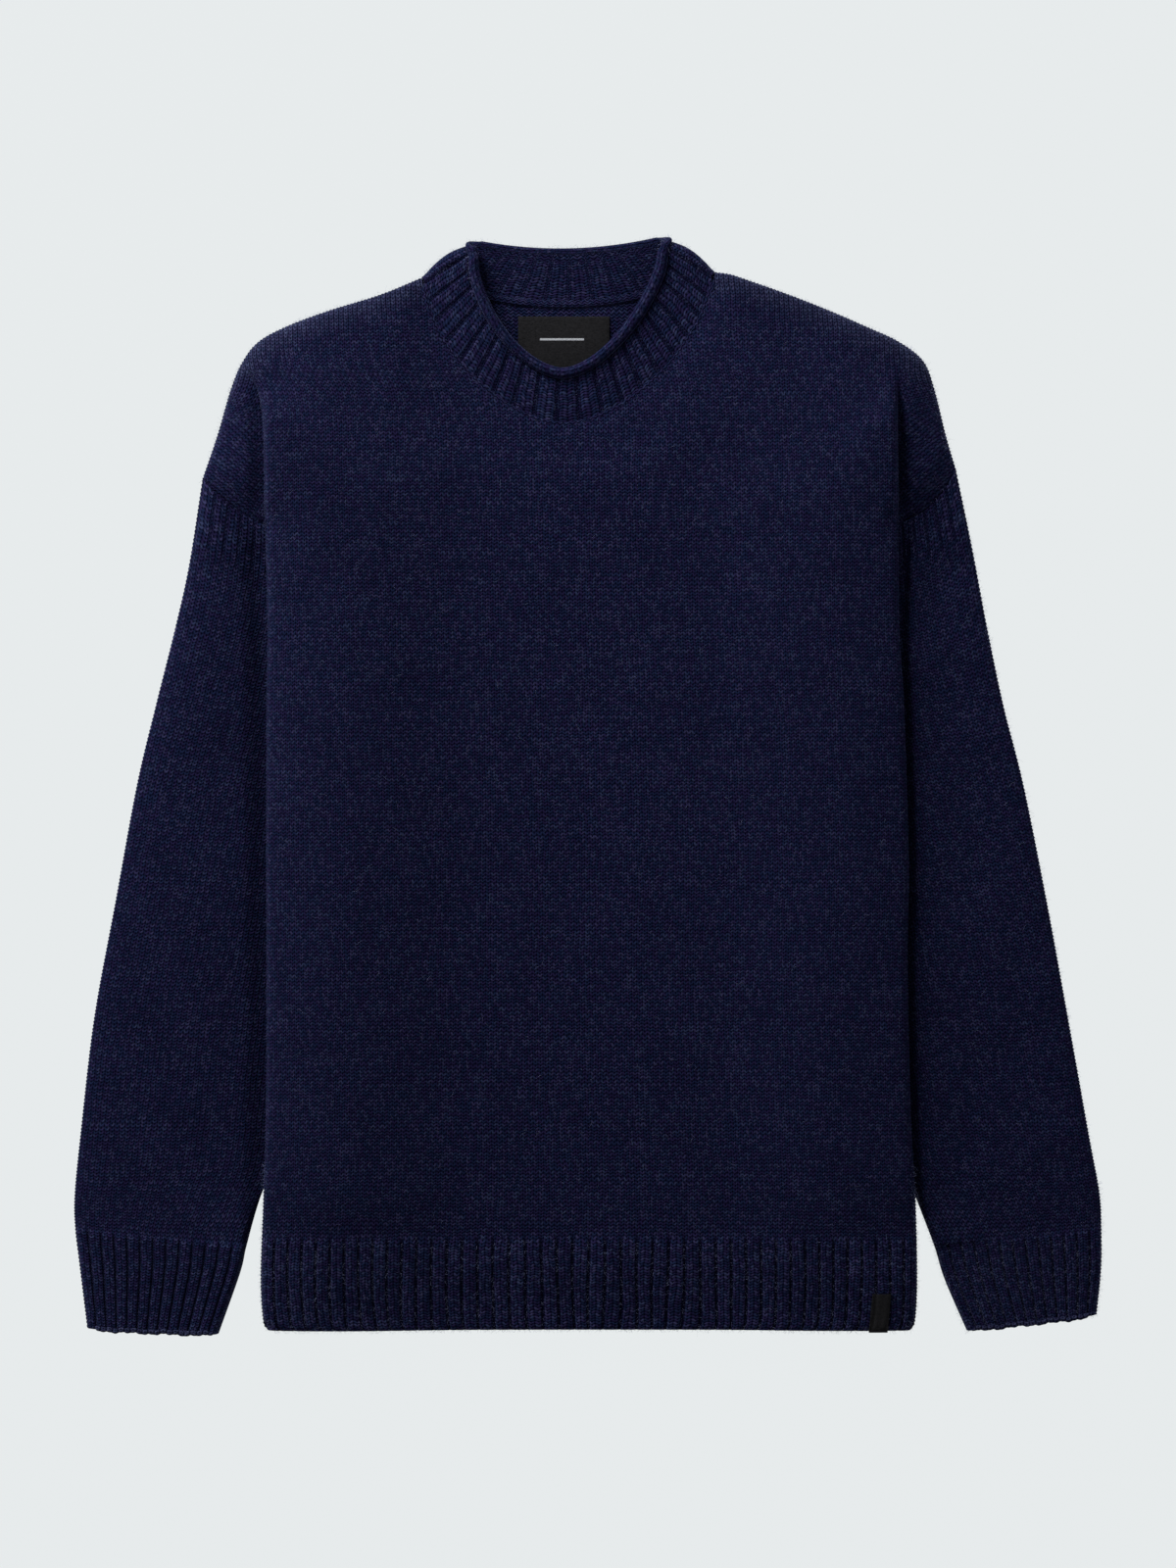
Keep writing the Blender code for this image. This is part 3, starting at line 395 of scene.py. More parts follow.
def panel_places(outline, step, rib_rows, lines=()):
    """Places inside a panel: rows along its folds, lines of its own, the hem's rib, and an even field."""
    rows = []
    for fold in BODY_FOLDS:
        square = square_to(fold[2:] - fold[:-2])
        for at, inset in enumerate(FOLD_ROWS):
            staggered = slice(at % 2, None, 1 + (at > 2))
            for sign in (-1, 1):
                rows.append(((fold[1:-1] + square * inset * sign)[staggered], inset * FOLD_CLEAR))
    for side in (-1, 1):
        ys = np.arange(CORNER_Y, CREASE_TOP_Y, EDGE_STEP)
        for inset in CREASE_LINES:
            rows.append((np.stack([side_edge(side, ys) - side * inset * MM, ys], axis=1), FIELD_CLEAR))
    xs = np.arange(-FIELD_X, FIELD_X, step)
    ys = np.arange((RIB_FADE_Y + 1.5 * MM) if len(rib_rows) else HEM_Y + step, FIELD_TOP, step * ROW_STEP)
    field = np.stack(np.meshgrid(xs, ys), axis=-1)
    field[1::2, :, 0] += step / 2
    field = field.reshape(-1, 2)
    rows.append((field[distance_to(field, lines) > LINE_CLEAR], FIELD_CLEAR))
    rows += [(line, FIELD_CLEAR) for line in lines]
    rows += [(hem_row(y)[1:-1], FIELD_CLEAR) for y in rib_rows]
    kept = []
    border = np.vstack([outline, outline[:1]])[::4]
    for places, clear in rows:
        places = places[is_inside(places, outline[::3])]
        places = places[distance_to(places, COARSE_FOLDS) >= clear]
        kept.append(places[distance_to(places, [border]) > BORDER_CLEAR])
    return np.vstack(kept)


def triangles_over(flat, outline_count):
    result = delaunay_2d_cdt([Vector(p) for p in flat.tolist()], [], [list(range(outline_count))], 1, 1e-8)
    source = np.array([ids[0] for ids in result[3]])
    faces = source[np.array([tuple(face) for face in result[2]])]
    a, b, c = (flat[faces[:, i]] for i in range(3))
    turn = (b - a)[:, 0] * (c - a)[:, 1] - (b - a)[:, 1] * (c - a)[:, 0]
    faces[turn < 0] = faces[turn < 0][:, ::-1]
    return faces


def make_piece(name, points, faces, maps, finish):
    """An object from points, faces and maps of two numbers for each corner of each face."""
    mesh = bpy.data.meshes.new(name)
    mesh.from_pydata(points.tolist(), [], faces)
    for map_name, values in maps.items():
        layer = mesh.uv_layers.new(name=map_name)
        layer.data.foreach_set("uv", values.astype(np.float32).ravel())
    mesh.shade_smooth()
    mesh.set_sharp_from_angle(angle=math.radians(62))
    mesh.materials.append(finish)
    piece = bpy.data.objects.new(name, mesh)
    bpy.context.scene.collection.objects.link(piece)
    return piece


def panel(name, outline, folded, outer, inner, knit, finish, outer_is_top):
    """A closed sheet of knit. Outer and inner are (places, height), and meet along the folded edges."""
    points = []
    faces = []
    count = len(outline)
    ahead = np.roll(outline, -1, axis=0) - np.roll(outline, 1, axis=0)
    stitches = (np.arange(count) % 2 * 2 - 1)[:, None] * STITCH_OUT * folded[:, None]
    stitched = outline - square_to(ahead) * stitches
    starts = []
    for places, height in (outer, inner):
        flat = np.vstack([outline, places])
        to_fold = distance_to(flat, COARSE_FOLDS)
        to_fold[:count][folded] = 0.0
        z = height(flat, to_fold)
        shown = np.vstack([stitched, places])
        starts.append(sum(len(p) for p in points))
        points.append(np.column_stack([shown, z]))
        faces.append(triangles_over(flat, count) + starts[-1])
    flipped = 1 if outer_is_top else 0
    faces[flipped] = faces[flipped][:, ::-1]
    ids = np.arange(starts[1] + count + len(inner[0]))
    ids[starts[1]:starts[1] + count][folded] = np.arange(count)[folded]
    top, under = (0, starts[1]) if outer_is_top else (starts[1], 0)
    here = np.arange(count)
    there = np.roll(here, -1)
    rims = np.vstack([np.stack([under + here, under + there, top + there], axis=1),
                      np.stack([under + here, top + there, top + here], axis=1)])
    faces = ids[np.vstack(faces + [rims])]
    whole = (faces[:, 0] != faces[:, 1]) & (faces[:, 1] != faces[:, 2]) & (faces[:, 0] != faces[:, 2])
    faces = faces[whole]
    points = np.vstack(points)
    wale, course, rib, purl = knit(points)
    used, renumbered = np.unique(faces, return_inverse=True)
    corners = faces.ravel()
    maps = {"knit": np.stack([wale, course], axis=1)[corners],
            "zone": np.stack([rib, purl], axis=1)[corners]}
    return make_piece(name, points[used], renumbered.reshape(faces.shape).tolist(), maps, finish)


class Value:
    """A value in a material. Arithmetic on it adds the Math nodes that work it out."""

    def __init__(self, finish, socket):
        self.finish = finish
        self.socket = socket

    def math(self, operation, *others):
        values = dict(enumerate((self,) + others))
        return self.finish.node("ShaderNodeMath", {"operation": operation}, values)[0]

    def __add__(self, other):
        return self.math("ADD", other)

    __radd__ = __add__

    def __sub__(self, other):
        return self.math("SUBTRACT", other)

    def __rsub__(self, other):
        return self.finish.node("ShaderNodeMath", {"operation": "SUBTRACT"}, {0: other, 1: self})[0]

    def __mul__(self, other):
        return self.math("MULTIPLY", other)

    __rmul__ = __mul__

    def __truediv__(self, other):
        return self.math("DIVIDE", other)

    def __pow__(self, other):
        return self.math("POWER", other)

    def part(self):
        return self.math("FRACT")

    def whole(self):
        return self.math("FLOOR")

    def size(self):
        return self.math("ABSOLUTE")

    def off_middle(self):
        """0 in the middle of each unit and 1 at both its ends."""
        return (self.part() * 2 - 1).size()

    def ramp(self, low, high):
        """0 up to low, 1 from high, and soft between."""
        return self.finish.node("ShaderNodeMapRange", {"interpolation_type": "SMOOTHSTEP"},
                                {"Value": self, "From Min": low, "From Max": high})["Result"]


class Finish:
    """A material in the making, with one way to add any node to it."""

    def __init__(self, name, **constants):
        self.material = bpy.data.materials.new(name)
        self.material.use_nodes = True
        self.tree = self.material.node_tree
        self.shader = self.tree.nodes["Principled BSDF"]
        for socket, value in constants.items():
            self.shader.inputs[socket.replace("_", " ")].default_value = value

    def node(self, kind, settings=None, values=None):
        made = self.tree.nodes.new(kind)
        for setting, value in (settings or {}).items():
            setattr(made, setting, value)
        for socket, value in (values or {}).items():
            if isinstance(value, Value):
                self.tree.links.new(value.socket, made.inputs[socket])
            else:
                made.inputs[socket].default_value = value
        return {key: Value(self, out) for at, out in enumerate(made.outputs) for key in (at, out.name)}

    def plane(self, x, y, z=0.0):
        return self.node("ShaderNodeCombineXYZ", None, {0: x, 1: y, 2: z})[0]

    def noise(self, place, detail=2.0, roughness=0.5):
        return self.node("ShaderNodeTexNoise", {"noise_dimensions": "3D"},
                         {"Vector": place, "Scale": 1.0, "Detail": detail, "Roughness": roughness})["Fac"]

    def chance(self, place):
        return self.node("ShaderNodeTexWhiteNoise", {"noise_dimensions": "2D"}, {"Vector": place})["Value"]

    def mix(self, share, a, b):
        return self.node("ShaderNodeMix", {"data_type": "RGBA"}, {0: share, 6: a, 7: b})[2]

    def map_numbers(self, name):
        """The two numbers of one of a piece's maps."""
        both = self.node("ShaderNodeUVMap", {"uv_map": name})[0]
        return self.node("ShaderNodeSeparateXYZ", None, {0: both})

    def scaled(self, vector, factor):
        return self.node("ShaderNodeVectorMath", {"operation": "SCALE"}, {0: vector, "Scale": factor})[0]

    def feed(self, socket, value):
        self.tree.links.new(value.socket, self.shader.inputs[socket])

    def feed_relief(self, height, distance, strength):
        values = {"Strength": strength, "Distance": distance, "Height": height}
        self.feed("Normal", self.node("ShaderNodeBump", None, values)["Normal"])


PURPLE_NAVY = (0.0158, 0.0128, 0.0440, 1.0)
TEAL_NAVY = (0.0094, 0.0155, 0.0425, 1.0)
PALE_FIBRE = (0.052, 0.060, 0.110, 1.0)
DEEP_BLUE = (0.0, 0.0001, 0.0062)  # light that has passed through the yarn, seen even in the gaps
WOOL_TONE = 0.865
STITCH_RELIEF = 0.8 * MM
PALE_SHARE = 0.38          # the most that pale fibres show on a strand
BRUSHED_AND_RIM_LIGHT = 0.38             # and where the wales gape: brushed fibre ends, with painted rim light


def wool():
    """Navy melange yarn in plain stitches, in ribs, or with its purl side out, by the two maps."""
    yarn = Finish("navy_melange_wool", Specular_IOR_Level=0.03, Roughness=0.95, Sheen_Weight=0.08,
                  Sheen_Roughness=0.3, Sheen_Tint=(0.42, 0.50, 0.95, 1.0))
    knit = yarn.map_numbers("knit")
    zone = yarn.map_numbers("zone")
    place = yarn.node("ShaderNodeTexCoord")["Object"]
    rib, purl, gape_and_rim_light = zone[0], zone[1].ramp(0, 1), (0 - zone[1]).ramp(0, 1)
    wale = knit[0] + 0.5 + (yarn.noise(yarn.plane(knit[0] * 0.23, knit[1] * 0.17, 3.0), 1.0) - 0.5) * 0.6
    course = knit[1] + (yarn.noise(yarn.plane(knit[0] * 0.16, knit[1] * 0.23, 9.0), 1.0) - 0.5) * 1.4
    # Plain stitches: two legs to a wale, each a strand that slants up and out from the middle
    leg = wale.off_middle()
    strand = course - leg * 0.5
    across = strand.off_middle()
    beside = (leg * 2 - 1).size()
    # The gaps: a hole in each stitch's middle and one beside it, with thin lines between courses and wales.
    # They are painted dark, as painted shade in the holes
    gap = across.ramp(0.10, 0.85) * (0.42 + beside.ramp(0.3, 0.95) * 0.58)
    gap = gap + (1 - gap) * leg.ramp(0.60, 1.0) * (0.30 + rib * 0.22 + gape_and_rim_light * 0.60)
    # The purl side: a row of short arcs across each course, with painted shade between them
    arc = course + (wale * (2 * math.pi)).math("COSINE") * purl * purl * 0.27
    purl_gap = arc.off_middle().ramp(0.30, 0.95) * 0.95
    gap = gap + (purl_gap - gap) * purl
    # The sunk wale of each rib is painted darker, as painted shade in the rib's furrow
    sunk = (1 - ((knit[0] / 3 + 0.5).part() - 0.5).size().ramp(0.10, 0.19)) * rib
    # Melange: fibres of unlike blues, from leg to leg, from stitch to stitch and along each course
    row = strand.whole()
    stitch = yarn.chance(yarn.plane(wale.whole(), row))
    leg_chance = yarn.chance(yarn.plane((wale * 2).whole() + 0.5, row + 300.0))
    leg_tint = yarn.chance(yarn.plane((wale * 2).whole() + 0.5, row + 700.0))
    rib_chance = yarn.chance(yarn.plane((knit[0] / 3).whole(), 7.0))
    row_chance = yarn.chance(yarn.plane(row, 5.0))
    streak = yarn.noise(yarn.plane(wale * 0.5 + row_chance * 90, row * 0.9, 1.0), 2.0, 0.6)
    tint = yarn.noise(yarn.plane(wale * 0.6 + row_chance * 70, row * 0.8, 21.0), 2.0, 0.6)
    fine = yarn.noise(yarn.plane(wale * 6 + strand * 3, strand * 8, 8.0), 2.0, 0.7)
    cloud = yarn.noise(yarn.scaled(place, 40.0), 3.0, 0.6)
    navy = yarn.mix((tint * 0.20 + leg_tint * 0.60 + fine * 0.20).ramp(0.33, 0.67), PURPLE_NAVY, TEAL_NAVY)
    # Paler where the wales gape along the shoulders, and on the cuffs' cast-off cords: brushed-up fibre
    # ends, and painted rim light there too
    pale = leg_chance.ramp(0.55, 1.0) * fine.ramp(0.2, 0.7) * PALE_SHARE + gape_and_rim_light ** 4 * BRUSHED_AND_RIM_LIGHT
    colour = yarn.mix(pale, navy, PALE_FIBRE)
    grain = 0.46 + rib * 0.34
    # The tone: painted shade in the gaps and in the ribs' sunk wales, then the melange's random tones
    tone = (1 - gap) * (1 - sunk * 0.75) * (0.91 + stitch * 0.18) * (1 - grain * 0.5 + leg_chance * grain)
    tone = tone * (0.92 + streak * 0.16) * (0.72 + cloud * 0.56) * (1 + (rib_chance - 0.5) * rib * 0.25)
    tone = tone * (0.79 + fine * 0.42)
    tone = tone * (1 + rib * 0.22)
    colour = yarn.scaled(colour, tone * WOOL_TONE)
    colour = yarn.node("ShaderNodeVectorMath", {"operation": "ADD"}, {0: colour, 1: DEEP_BLUE})[0]
    yarn.feed("Base Color", colour)
    height = (1 - gap) * 0.7 + fine * 0.2 + stitch * 0.2
    yarn.feed_relief(height, STITCH_RELIEF, 1.0)
    return yarn.material


WOOL = wool()
hem = hem_row(HEM_Y)
front_outline, front_folded = body_outline(hem, FRONT_NECK)
open_edges = [hem[[0, -1]], FRONT_NECK[::8]] + [line[::6] for line in SEAM_LINES.values()]
rib_rows = np.linspace(HEM_Y + 0.9 * MM, RIB_FADE_Y, RIB_ROWS)


def puff(flat):
    return PUFF * smooth(distance_to(flat, COARSE_FOLDS + open_edges) / PUFF_WIDTH)


def cap_sink(x, y):
    """How far the knit outside the crease sinks towards it, 0 to 1."""
    beyond = outside_body(x, y)
    width = np.where(x < 0, CAP_DROP_WIDTH[-1], CAP_DROP_WIDTH[1])
    along = smooth((CREASE_TOP_Y - y) / (CREASE_TOP_Y - CREASE_FULL_Y)) * smooth((y - CORNER_Y) / CAP_FADE)
    return (1 - smooth(beyond / width)) * (beyond > HAIR) * along


def dip(distance, depth, width):
    return depth * np.exp(-(distance / width) ** 2)


def front_top(flat, to_fold):
    x, y = flat.T
    open_dips = dip(distance_to(flat, [line[::4] for line in SEAM_LINES.values()]), *SEAM_DIP)
    open_dips = open_dips + dip(distance_to(flat, [FRONT_NECK[::6]]), *NECK_DIP) + dip(y - HEM_Y, *HEM_DIP)
    from_shoulder = distance_to(flat, COARSE_SHOULDERS)
    from_open = distance_to(flat, open_edges)
    swell = SHOULDER_SWELL * (1 - (1 - np.clip(from_shoulder / SHOULDER_WIDTH, 0, 1)) ** 2)
    swell = swell * smooth(from_open / PUFF_WIDTH)
    corner = smooth((np.abs(x) - CORNER_XS[0]) / (CORNER_XS[1] - CORNER_XS[0]))
    rim = SHOULDER_RIM[0] + (SHOULDER_RIM[1] - SHOULDER_RIM[0]) * corner
    rim_fade = (smooth(from_open / SHOULDER_RIM_WIDTH)
                * (1 - smooth((from_shoulder - SHOULDER_RIM_WIDTH * RIM_FLAT) / RIM_FALL)))
    swell += rim * quarter_round(from_shoulder, SHOULDER_RIM_WIDTH) * rim_fade
    ribs = RIB_RISE * rib_profile(plain_wale(x, y)) * hem_share(y)
    open_dips = open_dips + CAP_DROP * cap_sink(x, y)
    return (FOLD + SLIT + lift(x, y) + TOP_RISE * edge_round(to_fold) + puff(flat)
            + (swell + ribs + creases(x, y, FRONT_CREASES) - open_dips) * quarter_round(to_fold, FOLD))


def inner_round(to_fold):
    """How far an inner face lies from the middle of the hollow, which closes towards a fold."""
    return HOLLOW / 2 * quarter_round(to_fold - WALL, FOLD - WALL)


def front_under(flat, to_fold):
    x, y = flat.T
    return (FOLD + SLIT + lift(x, y) + inner_round(to_fold) + puff(flat)
            - CAP_UNDER * CAP_DROP * cap_sink(x, y))


def front_knit(points):
    x, y = points[:, 0], points[:, 1]
    wale, course, rib = body_knit(x, y)
    start, width = CAP_GAPE_WIDTHS
    courses = (CAP_GAPE * smooth((outside_body(x, y) - start) / width)
               * smooth((CREASE_TOP_Y - y) / CAP_GAPE_FALL))
    start, height = SHOULDER_GAPE_YS
    from_shoulder = distance_to(points[:, :2], COARSE_SHOULDERS)
    wales = (SHOULDER_GAPE_AND_RIM_LIGHT * (1 - smooth(from_shoulder / SHOULDER_GAPE_WIDTH))
             * smooth((y - start) / height))
    # The last number: the cap's courses show as purl, and below 0 the gaping wales along the shoulders,
    # painted paler as rim light
    return wale, course, rib, courses * (y > CAP_START_Y) - wales


front = panel("front_panel", front_outline, front_folded,
              (panel_places(front_outline, PANEL_STEP, rib_rows), front_top),
              (panel_places(front_outline, UNDER_STEP, []), front_under), front_knit, WOOL, True)
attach(front, BODY)
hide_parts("front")

# Back panel: the same knit and rib. It lies on the table, rises over a sleeve's edge at each side, and its
# own side edges are turned in under it there. Its purl side shows through the neck.
ROOM_CLEARANCE = 2 * MM
ROOM_STEP = 8 * MM
ROOM_RAMP = 10 * MM
ROOM_LINES = 6             # rows of points down each of its slopes
SLEEVE_INNER = {           # y, x of each sleeve's inner fold, from the cuff up
    -1: ((-347.2, -234.0), (-309.0, -220.5), (-291.7, -216.4), (-262.0, -206.0), (-222.0, -193.0),
         (-152.0, -181.0), (-80.0, -176.0), (-8.0, -174.0), (36.0, -174.0), (78.0, -175.0), (152.0, -178.0)),
    1: ((-345.3, 240.0), (-313.0, 226.0), (-292.0, 219.5), (-263.0, 208.5), (-224.0, 194.0),
        (-152.0, 181.0), (-80.0, 176.0), (-8.0, 174.0), (36.0, 174.0), (80.0, 175.0), (156.0, 178.0)),
}
TURNED_END = 95 * MM       # where the turned-in layer ends, as a faint step across the underside
TURNED_STEP = 0.35 * MM
TURNED_STEP_WIDTH = 3.5 * MM
TURNED_STEP_FADES = (8 * MM, 30 * MM)     # it fades at the hem, and below its upper end
TURNED_STEP_TOP = 150 * MM
BACK_RIB_DEPTH = 0.4 * MM  # its ribs are pressed flat on the table, and only the sunk wales rise
BACK_STEP = 3.4 * MM
BACK_INSIDE_STEP = 8 * MM
INSIDE_LEVEL = 2.4 * MM    # above this, and from this far up, its inner face shows through the neck
INSIDE_Y = 200 * MM


def sleeve_room(x, y):
    """Height of the room under each side of the body, in which a sleeve's inner edge lies."""
    room = np.zeros(len(x))
    for side in (-1, 1):
        inner = np.array(SLEEVE_INNER[side]) * MM
        overlap = side * (side_edge(side, y) - np.interp(y, inner[:, 0], inner[:, 1]))
        depth = side * (side_edge(side, y) - x)
        seam = section_point(SHOULDER_SEAMS[side], np.linspace(0, 1, 25))
        seam = seam[np.argsort(seam[:, 0])]
        across = 1 - smooth((depth - overlap - ROOM_CLEARANCE) / ROOM_STEP)
        along = smooth((np.interp(x, seam[:, 0], seam[:, 1]) + ROOM_RAMP - y) / ROOM_RAMP)
        here = (side * x > 0) & (depth > -HAIR)
        room = np.where(here, SIDE_LIFT * across * along, room)
    return room


def room_lines():
    """Lines of points down the slopes of those rooms."""
    lines = []
    for side in (-1, 1):
        inner = np.array(SLEEVE_INNER[side]) * MM
        ys = np.arange(RIB_FADE_Y + 4 * MM, SHOULDER_SEAMS[side][3] * MM, PANEL_STEP)
        edge = np.stack([np.interp(ys, inner[:, 0], inner[:, 1]), ys], axis=1)
        seam = section_point(SHOULDER_SEAMS[side], np.linspace(0.4, 1, 20))
        for offset in np.linspace(0, ROOM_STEP, ROOM_LINES):
            lines.append(edge - np.array([side * (ROOM_CLEARANCE + offset), 0.0]))
            lines.append(seam + np.array([0.0, offset * ROOM_RAMP / ROOM_STEP]))
    return lines


def back_top(flat, to_fold):
    x, y = flat.T
    return FOLD - SLIT + lift(x, y) - inner_round(to_fold)


def back_under(flat, to_fold):
    x, y = flat.T
    room = sleeve_room(x, y)
    height = room + (FOLD - SLIT + lift(x, y) - room) * (1 - quarter_round(to_fold, FOLD))
    fade = (smooth((y - HEM_Y) / TURNED_STEP_FADES[0])
            * smooth((TURNED_STEP_TOP - y) / TURNED_STEP_FADES[1]))
    groove = np.exp(-((-outside_body(x, y) - TURNED_END) / TURNED_STEP_WIDTH) ** 2) * fade
    ribs = BACK_RIB_DEPTH * (1 - rib_profile(body_knit(x, y)[0])) * hem_share(y)
    return height + TURNED_STEP * groove + ribs * quarter_round(to_fold, FOLD)


def back_knit(points):
    wale, course, rib = body_knit(points[:, 0], points[:, 1])
    shows_inside = (points[:, 2] > INSIDE_LEVEL) & (points[:, 1] > INSIDE_Y)
    return wale, course, rib, shows_inside.astype(float)


back_outline, back_folded = body_outline(hem, BACK_NECK)
back = panel("back_panel", back_outline, back_folded,
             (panel_places(back_outline, BACK_STEP, rib_rows[::2], room_lines()), back_under),
             (panel_places(back_outline, BACK_INSIDE_STEP, []), back_top), back_knit, WOOL, False)
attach(back, BODY)
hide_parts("back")

# Sleeves: flattened tubes of the same knit, set on below the dropped shoulder with a narrow rib band, and
# ended in a ribbed cuff. Their inner edges lie under the body's sides.
SLEEVES = {
    -1: ((-244.3, 194.4, -178.0, 152.0, 6.5), (-252.8, 140.0, -176.0, 112.0, 5.0),
         (-261.6, 100.0, -175.0, 78.0, 3.0), (-274.0, 50.5, -174.0, 36.0, 2.0),
         (-285.8, 0.9, -174.0, -8.0, 1.0), (-299.5, -73.5, -176.0, -80.0, 1.0),
         (-313.1, -147.9, -181.0, -152.0, 1.0), (-321.8, -222.3, -193.0, -222.0, 1.0),
         (-325.4, -260.0, -208.0, -262.0, 1.0), (-325.0, -281.0, -216.4, -291.7, 1.0),
         (-322.4, -303.0, -220.5, -309.0, 1.0), (-317.4, -343.8, -234.0, -347.2, 0.3)),
    1: ((233.1, 200.6, 178.0, 156.0, 10.5), (243.6, 150.0, 176.0, 118.0, 7.0),
        (253.0, 100.0, 175.0, 80.0, 3.0), (263.5, 50.0, 174.0, 36.0, 2.0),
        (275.9, 0.9, 174.0, -8.0, 1.0), (290.8, -73.5, 176.0, -80.0, 1.0),
        (304.4, -148.0, 181.0, -152.0, 1.0), (317.6, -222.0, 194.0, -224.0, 1.0),
        (324.2, -258.0, 208.5, -263.0, 1.0), (325.4, -281.0, 219.5, -292.0, 1.0),
        (325.2, -307.0, 226.0, -313.0, 1.0), (322.4, -335.0, 240.0, -345.3, 0.5)),
}
SECTION_STEPS = 60         # rows of points from one of those sections to the next
MIDDLE_SHARE = 0.4         # its length is measured this far across it
BAND_END = 0.60            # the sections, counted from 0, at which the top band ends and the cuff starts
BAND_FADE = 0.18
CUFF_START = 8.9
CUFF_FADE = 0.15
CUFF_RIBS = 13
CUFF_LOOK = 0.8            # how plainly its ribs show beside those of the hem
BAND_RIBS = 8
BAND_RISE = 0.40 * MM
BAND_LOOK = 0.6            # how plainly its ribs show beside those of the hem
LOW_START = 6.5            # from this section on, its wales draw together and it tilts
NARROWING = 2.3
TILTING = 3.5
CUFF_TILT = {-1: 4.5 * MM, 1: 0.5 * MM}     # its inner edge lies this much higher at the cuff, by side
SLEEVE_DOME = {-1: 1.8 * MM, 1: 0.8 * MM}
DOME_SKEW = {-1: 0.6, 1: 0.36}     # the smaller, the further out its top lies
SLEEVE_SLOPE = {-1: 1.0 * MM, 1: -2.8 * MM}     # its upper layer sinks towards the body, or rises to it
SLOPE_SHARES = (0.45, 0.55)
SLEEVE_DROP = {-1: 4.4 * MM, 1: 3.6 * MM}       # and it drops close beside the body, from the seam down
DROP_WIDTH = {-1: 17 * MM, 1: 7 * MM}
DROP_START = 1 * MM        # the drop is full only this far under the body's side
SEAM_SECTIONS = 0.5
HOLLOW_DROP = 1.0 * MM     # its hollow lies this far below the middle of its folds
INSIDE_SINK = 1.6 * MM     # and above the cuff it lies lower still, clear of the drop
INNER_ROWS = 14
FOLD_DEGREES = (0, 16, 32, 48, 64, 80, 100)     # rows of points round each side fold
TOP_SHARES = (0.06, 0.94)  # the points across its top lie between these, and clear of the folds
LOWER_SHARES = np.linspace(0.08, 0.92, 18)
CORD_SHARES = (0.03, 0.97) # the cast-off edge shows between these
SLEEVE_CREASES = {
    -1: ((-262, 150, -214, 118, 12, -0.8), (-232, 118, -212, 60, 10, 0.5), (-276, 60, -222, 28, 13, 0.6),
         (-290, 10, -226, -30, 15, -0.6), (-262, -60, -236, -150, 18, 0.7),
         (-306, -150, -252, -190, 14, -0.7), (-316, -215, -262, -240, 11, 0.7),
         (-250, -215, -228, -270, 12, -0.6)),
    1: ((250, 146, 206, 122, 11, -0.9), (228, 120, 214, 70, 10, 0.5), (262, 84, 216, 96, 12, 0.7),
        (270, 20, 224, -14, 14, -0.6), (278, -50, 240, -120, 17, 0.7), (300, -150, 246, -178, 13, -0.7),
        (312, -214, 262, -246, 12, 0.7), (246, -212, 232, -262, 12, -0.5)),
}


def cell_corners(rows, columns):
    """Row and column numbers of the four corners of each cell in a grid of points."""
    row, column = np.meshgrid(np.arange(rows), np.arange(columns), indexing="ij")
    row, column = row.ravel(), column.ravel()
    return [(row, column), (row, column + 1), (row + 1, column + 1), (row + 1, column)]


def at_corners(values, corners):
    return np.stack([values[row, column] for row, column in corners], axis=1).reshape(-1, 2)


def skin(name, grid, knit, zone, finish):
    """A closed skin through rows of points. Each row is a closed ring, and the last joins the first."""
    rows, columns = grid.shape[:2]
    corners = cell_corners(rows, columns)
    faces = np.stack([row % rows * columns + column % columns for row, column in corners], axis=1)
    maps = {"knit": at_corners(knit, corners), "zone": at_corners(zone, corners)}
    return make_piece(name, grid.reshape(-1, 3), faces.tolist(), maps, finish)


